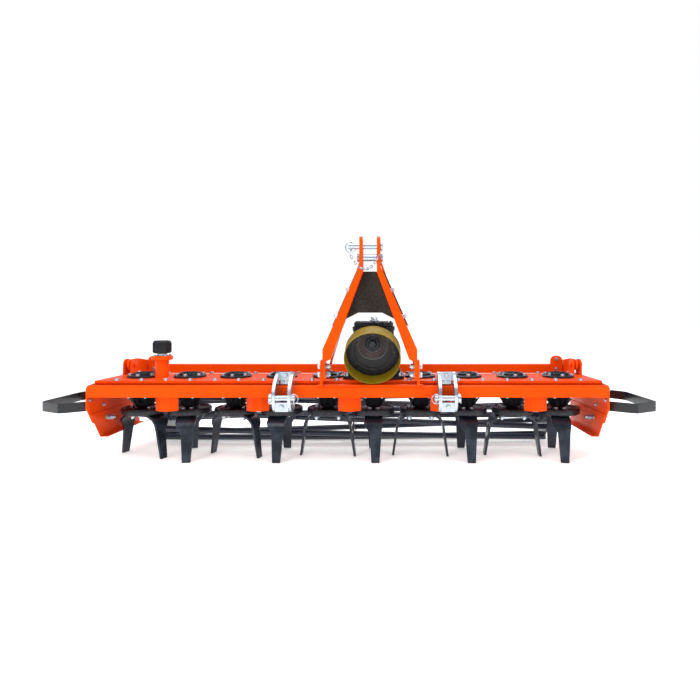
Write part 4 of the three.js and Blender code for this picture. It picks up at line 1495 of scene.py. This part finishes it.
@dataclass
class Headstock:
    """The A-frame that carries the top link: legs, struts, shield, pins and the pin's chain."""

    x: float = 0.112
    y: float = -0.215
    pin_z: float = 1.104
    spacer_z: float = 1.046
    ear_outer: float = 0.052
    slope: float = 2.257
    slope_top: float = 1.003
    leg_bolts: tuple[float, float] = (0.459, 0.502)
    side_nuts: tuple[float, float] = (0.884, 0.752)
    lug_bolts: tuple[float, float] = (1.028, 1.054)
    shield_bolts: Outline = ((0.068, 0.930), (0.139, 0.755))
    chain_links: int = 17
    chain_sag: float = 0.090

    def both(self, kind: Fastener, size: float, places: Sequence[tuple]) -> Piece:
        """Fasteners on both sides, from (X from the middle, Y, Z, outward on the right, turn) of each."""
        return kind.at(size, [seat((self.x + side * x, y, z), (side * out[0], *out[1:]), turn)
                              for side in (-1, 1) for x, y, z, out, turn in places])

    def frame_bolts(self) -> Piece:
        """Draws the bolts at the feet of the legs and struts, and the shield's bolts.

        Returns:
            All of them.
        """
        y, right, left = self.y + 0.012, (1, 0, 0), (-1, 0, 0)
        steep = Vector((self.slope, 0, 1)).normalized()
        sides = [(self.ear_outer + (self.slope_top - z) / self.slope, self.y + 0.004, z, steep, z)
                 for z in self.side_nuts]
        return join([
            self.both(Fastener.BOLT, 0.018, [(0.2475, y, z, right, z) for z in self.leg_bolts]),
            self.both(Fastener.NUT, 0.018, [(0.2208, y, z, left, 2 * z) for z in self.leg_bolts]),
            self.both(Fastener.NUT, 0.010, [(0.2395, y, 0.4332, UP, 0.2395) for y in (0.110, 0.146)]),
            self.both(Fastener.BOLT, 0.010, [(x, -0.1866, z, (0, 1, 0), z) for x, z in self.shield_bolts]),
            self.both(Fastener.BOLT, 0.010, [(0.0512, -0.166, z, right, z) for z in self.lug_bolts]),
            self.both(Fastener.NUT, 0.014, sides),
        ])

    def spacer(self) -> Piece:
        """Draws the bolt and tube that hold the ears apart.

        Returns:
            Both.
        """
        outer, hexagon = self.ear_outer + 0.0003, (0.020, HEX, 0.0015)
        bars = ((-outer, outer, 0.014, SMALL_ROUND, 0), (-0.0345, 0.0345, 0.0185),
                (outer, outer + 0.012, *hexagon), (-outer - 0.012, -outer, *hexagon))
        y, z = self.y, self.spacer_z
        return join([rod((self.x + a, y, z), (self.x + b, y, z), *rest) for a, b, *rest in bars])

    def chain(self, start: Vector, end: Vector) -> list[Piece]:
        """Draws a chain that hangs between two points.

        Args:
            start: Where it begins.
            end: Where it ends.

        Returns:
            Its links.
        """
        path = []
        for i in range(self.chain_links + 1):
            t = i / self.chain_links
            path.append(start.lerp(end, t) - Vector((0, 0, self.chain_sag * 4 * t * (1 - t))))
        links = []
        for i, (here, there) in enumerate(zip(path, path[1:])):
            free()
            bpy.ops.mesh.primitive_torus_add(major_radius=0.0054, minor_radius=0.0016,
                                             major_segments=14, minor_segments=6)
            link = bpy.context.object
            with editing(link):
                bpy.ops.transform.resize(value=(1.55, 1, 1))
            turn = (there - here).to_track_quat("X", "Z").to_matrix().to_4x4()
            turn = turn @ Matrix.Rotation(math.pi / 2 * (i % 2), 4, "X")
            link.data.transform(Matrix.Translation((here + there) / 2) @ turn)
            links.append(link)
        return links

    def top_pin(self) -> Piece:
        """Draws the top-link pin with its collar, pull ring, linch pin and chain.

        Returns:
            The pin and all that hangs on it.
        """
        outer, (x, y, z) = self.ear_outer + 0.0003, (self.x, self.y, self.pin_z)
        pin = lathe([
            (0, -0.110), (0.0125, -0.110), (0.016, -0.105), (0.016, outer), (0.021, outer),
            (0.023, outer + 0.002), (0.023, outer + 0.008), (0.021, outer + 0.010), (0, outer + 0.010),
        ], Axis.X, (x, y, z), 32)
        lock_x, eye_x = x - 0.094, x + 0.0605
        lock = rod((lock_x, y - 0.001, z + 0.026), (lock_x, y - 0.001, z - 0.026), 0.0045, 16)
        linch = ring((lock_x - 0.002, y - 0.006, z - 0.006), (0.15, 1, 0), 0.0265, 0.0026)
        eye = ring((eye_x, y - 0.029, z - 0.021), (1, 0, 0), 0.009, 0.0016)
        links = self.chain(Vector((lock_x - 0.010, y - 0.036, z - 0.030)),
                           Vector((eye_x, y - 0.036, z - 0.026)))
        return join([pin, lock, linch, eye, *links])

    def build(self, bench: Bench) -> None:
        """Builds the headstock and hands its pieces over.

        Args:
            bench: Takes each finished piece.
        """
        for side, _ in SIDES:
            bench.dress(f"headstock_leg_{side}", f"a_frame_leg_{side}", Finish.ORANGE, 0.0020)
            bench.dress(f"headstock_strut_{side}", f"a_frame_strut_{side}", Finish.ORANGE, 0.0012)
        bench.dress("headstock_shield", "shield_sheet", Finish.SHEET, 0.0008)
        bench.deliver(self.frame_bolts(), "a_frame_bolts", Finish.ZINC)
        bench.deliver(self.spacer(), "ear_spacer_bolt", Finish.ZINC, ["spacer_pin"])
        pin = "top_link_pin"
        bench.deliver(self.top_pin(), f"{pin}_with_chain", Finish.ZINC, [pin], pin)


@dataclass
class Hitch:
    """The two lower-link clamps on the tool bar, with their pins."""

    places: tuple[tuple[str, float, int], ...] = (("left", -0.315, -1), ("right", 0.495, 1))
    inner: float = 0.0305
    cheek: float = 0.015
    pin_y: float = -0.283
    pin_z: float = 0.355

    def bolts(self) -> Piece:
        """Draws the clamp's bolts.

        Returns:
            All of them, about X = 0.
        """
        large = [seat((0, -0.1985, 0.456), AHEAD, 0.3), seat((0, -0.2865, 0.312), AHEAD, 0.2)]
        small = [seat((x, -0.1885, 0.424), AHEAD, x) for x in (-0.013, 0.013)]
        return join([Fastener.BOLT.at(0.014, large), Fastener.BOLT.at(0.008, small)])

    def pin(self, side: int) -> Piece:
        """Draws a lower-link pin, its head on the outside and its linch pin on the inside.

        Args:
            side: 1 on the right, -1 on the left.

        Returns:
            The pin, about X = 0.
        """
        outer, y, z = self.inner + self.cheek + 0.0003, self.pin_y, self.pin_z
        shank = lathe([
            (0, -outer - 0.021), (0.011, -outer - 0.021), (0.014, -outer - 0.018), (0.014, outer),
            (0.020, outer), (0.022, outer + 0.002), (0.022, outer + 0.013), (0.019, outer + 0.016),
            (0, outer + 0.016),
        ], Axis.X, (0, y, z), 32)
        lock_x = -outer - 0.012
        lock = rod((lock_x, y, z + 0.022), (lock_x, y, z - 0.022), 0.004, 16)
        linch = ring((lock_x - 0.001, y - 0.003, z - 0.004), (0.6, 1, 0), 0.0225, 0.0024)
        grip = ring((outer + 0.0145, y, z - 0.012), (1, 0, 0), 0.0135, 0.0022)
        return mirrored(join([shank, lock, linch, grip]), side)

    def build(self, bench: Bench) -> None:
        """Builds both clamps and hands their pieces over.

        Args:
            bench: Takes each finished piece.
        """
        for name, x, side in self.places:
            node, offset = f"hitch_pin_{name}", (x, 0, 0)
            bench.dress(f"hitch_clamp_{name}", f"lower_link_clamp_{name}", Finish.ZINC, 0.0022)
            bench.deliver(self.bolts(), f"clamp_bolts_{name}", Finish.ZINC, offset=offset)
            bench.deliver(self.pin(side), f"lower_link_pin_{name}", Finish.ZINC, [node], node, offset=offset)


@dataclass
class CageRoller:
    """The roller behind the rotors, with the beam, levers and arms that carry it."""

    y: float = 0.345
    z: float = 0.150
    bars: int = 8
    bar_steps: int = 14
    circle: float = 0.133
    bar: float = 0.0168
    half: float = 1.145
    twist: float = math.radians(40)
    arm: float = 1.195
    arm_plate: float = 0.012
    disc: float = 0.137
    beam_bottom: float = 0.409
    stop_x: float = 1.2195
    face_y: float = 0.3035
    lever_x: float = 1.2709

    def cage(self) -> Piece:
        """Draws eight bars twisted round three discs on an axle.

        Returns:
            The roller, about its own axis.
        """
        pieces = []
        for i in range(self.bars):
            path = []
            for step in range(self.bar_steps + 1):
                t = step / self.bar_steps
                angle = -math.pi / 2 + TURN * i / self.bars + self.twist * (t - 0.5)
                path.append((self.half * (2 * t - 1), self.circle * math.cos(angle),
                             self.circle * math.sin(angle)))
            pieces.append(wire(path, self.bar, 3))
        r = self.disc
        for x in (-self.half + 0.006, -0.008, self.half - 0.014):
            pieces.append(lathe([(0.0168, 0), (r - 0.0015, 0), (r, 0.0015), (r, 0.0065), (r - 0.0015, 0.008),
                                 (0.0168, 0.008)], Axis.X, (x, 0, 0), 64))
            pieces.append(lathe([(0.0165, -0.012), (0.030, -0.012), (0.034, -0.002), (0.034, 0.010),
                                 (0.030, 0.020), (0.0165, 0.020)], Axis.X, (x, 0, 0), 32))
        end = self.arm + 0.008
        return join([*pieces, rod((-end, 0, 0), (end, 0, 0), 0.017, 32, 0.002)])

    def bearing(self, side: int) -> Piece:
        """Draws the round bearing housing inside an arm and its cap outside.

        Args:
            side: 1 on the right, -1 on the left.

        Returns:
            Both.
        """
        hub = lathe([(0.0185, -0.0238), (0.030, -0.0238), (0.0375, -0.018), (0.0385, -0.002), (0.046, -0.001),
                     (0.046, 0.0005), (0.0185, 0.0005)], Axis.X, (self.arm, self.y, self.z))
        cap = lathe([(0.0, 0.009), (0.026, 0.009), (0.030, 0.005), (0.031, -0.001), (0.0, -0.001)],
                    Axis.X, (self.arm + self.arm_plate, self.y, self.z))
        return mirrored(join([hub, cap]), side)

    def bolts(self, side: int) -> list[Matrix]:
        """Finds the places of the frame's bolts on one side.

        Args:
            side: 1 on the right, -1 on the left.

        Returns:
            A matrix for each.
        """
        outward = (side, 0, 0)
        hanger = ((self.arm + self.arm_plate) * side, self.y, self.z + 0.062)
        under = (self.arm - 0.013) * side
        return [
            *(seat((self.stop_x * side, self.face_y, z), AHEAD, turn)
              for z, turn in ((0.494, 0.2), (0.436, 0.5))),
            *circle_of(4, 0.030, hanger, outward, math.pi / 4),
            *(seat((under, self.y + y, self.beam_bottom - 0.0083), DOWN, -0.013) for y in (-0.026, 0.026)),
            *(seat((self.lever_x * side, y, 0.435), outward, y) for y in (0.330, 0.362)),
        ]

    def build(self, bench: Bench) -> None:
        """Builds the roller group and hands its pieces over.

        Args:
            bench: Takes each finished piece.
        """
        body = "roller_frame"
        bench.deliver(self.cage(), "cage_roller", Finish.ROLLER, ["roller"], "roller",
                      offset=(0, self.y, self.z))
        bench.dress("roller_beam", "roller_cross_beam", Finish.ORANGE, 0.0022, body)
        faces = []
        for name, side in SIDES:
            left, right = self.stop_x * side - 0.036, self.stop_x * side + 0.036
            outline = [(left, 0.405), (right, 0.405), (right, 0.516, 0.036), (left, 0.516, 0.036)]
            faces.append(plate(outline, Axis.Y, self.face_y, self.face_y + 0.0112, 0.0015))
            bench.dress(f"roller_arm_{name}", f"roller_side_arm_{name}", Finish.ORANGE, 0.0014, body)
            bench.deliver(self.bearing(side), f"roller_bearing_{name}", Finish.CAST, body=body)
        bench.deliver(join(faces), "roller_beam_face_plates", Finish.ORANGE, body=body)
        pack = Fastener.BOLT.at(0.012, [*self.bolts(-1), *self.bolts(1)])
        bench.deliver(pack, "roller_frame_bolts", Finish.ZINC, body=body)


@dataclass
class Studio:
    """A pale floor in a white room, four soft lights and the camera."""

    eye: Point = (0.217, -2.665, 0.750)
    lens: float = 25.2
    shift: tuple[float, float] = (-0.0586, -0.0471)
    floor: float = 60.0
    floor_glow: float = 0.32                      # lifts the far floor to the white of the wall
    room: Colour = (0.90, 0.90, 0.90)             # what dull surfaces get from the room
    mirrored_room: Colour = (0.30, 0.37, 0.47)    # what polished surfaces show of it
    # name, place, height of its target, side of its square, watts
    lights: tuple[tuple[str, Point, float, float, float], ...] = (
        ("key", (-2.2, -3.0, 3.0), 0.4, 1.5, 44), ("fill", (3.2, -2.6, 1.4), 0.4, 1.2, 20),
        ("back", (0.4, 3.2, 2.6), 0.5, 2.0, 40), ("overhead", (0, -0.6, 3.0), 0.4, 3.0, 78),
    )

    def light(self, name: str, place: Point, target: float, size: float, power: float) -> None:
        """Adds one soft light.

        Args:
            name: Its name.
            place: Where it stands.
            target: The height over the origin that it points at.
            size: The side of its square.
            power: Its power in watts.
        """
        lamp = bpy.data.lights.new(name, "AREA")
        lamp.energy, lamp.size = power, size
        holder = bpy.data.objects.new(name, lamp)
        holder.location = place
        holder.rotation_euler = (Vector((0, 0, target)) - Vector(place)).to_track_quat("-Z", "Y").to_euler()
        bpy.context.scene.collection.objects.link(holder)

    def world(self) -> None:
        """Paints the room: white to the camera, grey to dull surfaces, blue-grey to polished ones."""
        world = bpy.data.worlds.new("studio")
        world.use_nodes = True
        nodes, links = world.node_tree.nodes, world.node_tree.links
        ray = nodes.new("ShaderNodeLightPath")
        seen, wall = nodes.new("ShaderNodeMix"), nodes.new("ShaderNodeMix")
        seen.data_type = wall.data_type = "RGBA"
        seen.inputs[6].default_value, seen.inputs[7].default_value = (*self.room, 1), (*self.mirrored_room, 1)
        wall.inputs[7].default_value = (*WHITE, 1)
        links.new(ray.outputs["Is Glossy Ray"], seen.inputs[0])
        links.new(ray.outputs["Is Camera Ray"], wall.inputs[0])
        links.new(seen.outputs[2], wall.inputs[6])
        links.new(wall.outputs[2], nodes["Background"].inputs[0])
        bpy.context.scene.world = world

    def build(self, bench: Bench) -> None:
        """Builds the room, its lights and the camera.

        Args:
            bench: Knows where the rotor row is.
        """
        free()
        bpy.ops.mesh.primitive_plane_add(size=self.floor, location=(0, 0, -0.001))
        floor = bpy.context.object
        floor.name = "studio_floor"
        graph = Graph("studio_floor")
        tone = graph.blend(graph.noise(0.6, 2).between(0.3, 0.7), (0.97, 0.97, 0.97), (0.95, 0.95, 0.955))
        rough = 0.75 + graph.noise(3.0) * 0.05
        paint = graph.surface(tone, rough, graph.noise(40.0), 0.0001, gloss=0.0, glow=self.floor_glow)
        floor.data.materials.append(paint)
        self.world()
        for light in self.lights:
            self.light(*light)
        camera = bpy.data.cameras.new("camera")
        camera.lens = self.lens
        camera.shift_x, camera.shift_y = self.shift
        holder = bpy.data.objects.new("camera", camera)
        holder.location = Vector(self.eye) + Vector((0, bench.row, 0))
        holder.rotation_euler = (math.pi / 2, 0, 0)
        bpy.context.scene.collection.objects.link(holder)
        bpy.context.scene.camera = holder
        bpy.context.scene.view_settings.view_transform = "Standard"


def main() -> None:
    """Loads the frame and builds every assembly round it."""
    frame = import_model()
    free()
    bench = Bench(frame)
    for kind in (Studio, Bed, BreatherCap, Rotors, Sides, Gearbox, Drive, Headstock, Hitch, CageRoller):
        LOG.info("building %s", kind.__name__)
        kind().build(bench)


if __name__ == "__main__":
    logging.basicConfig(level=logging.INFO, format="%(message)s")
    main()
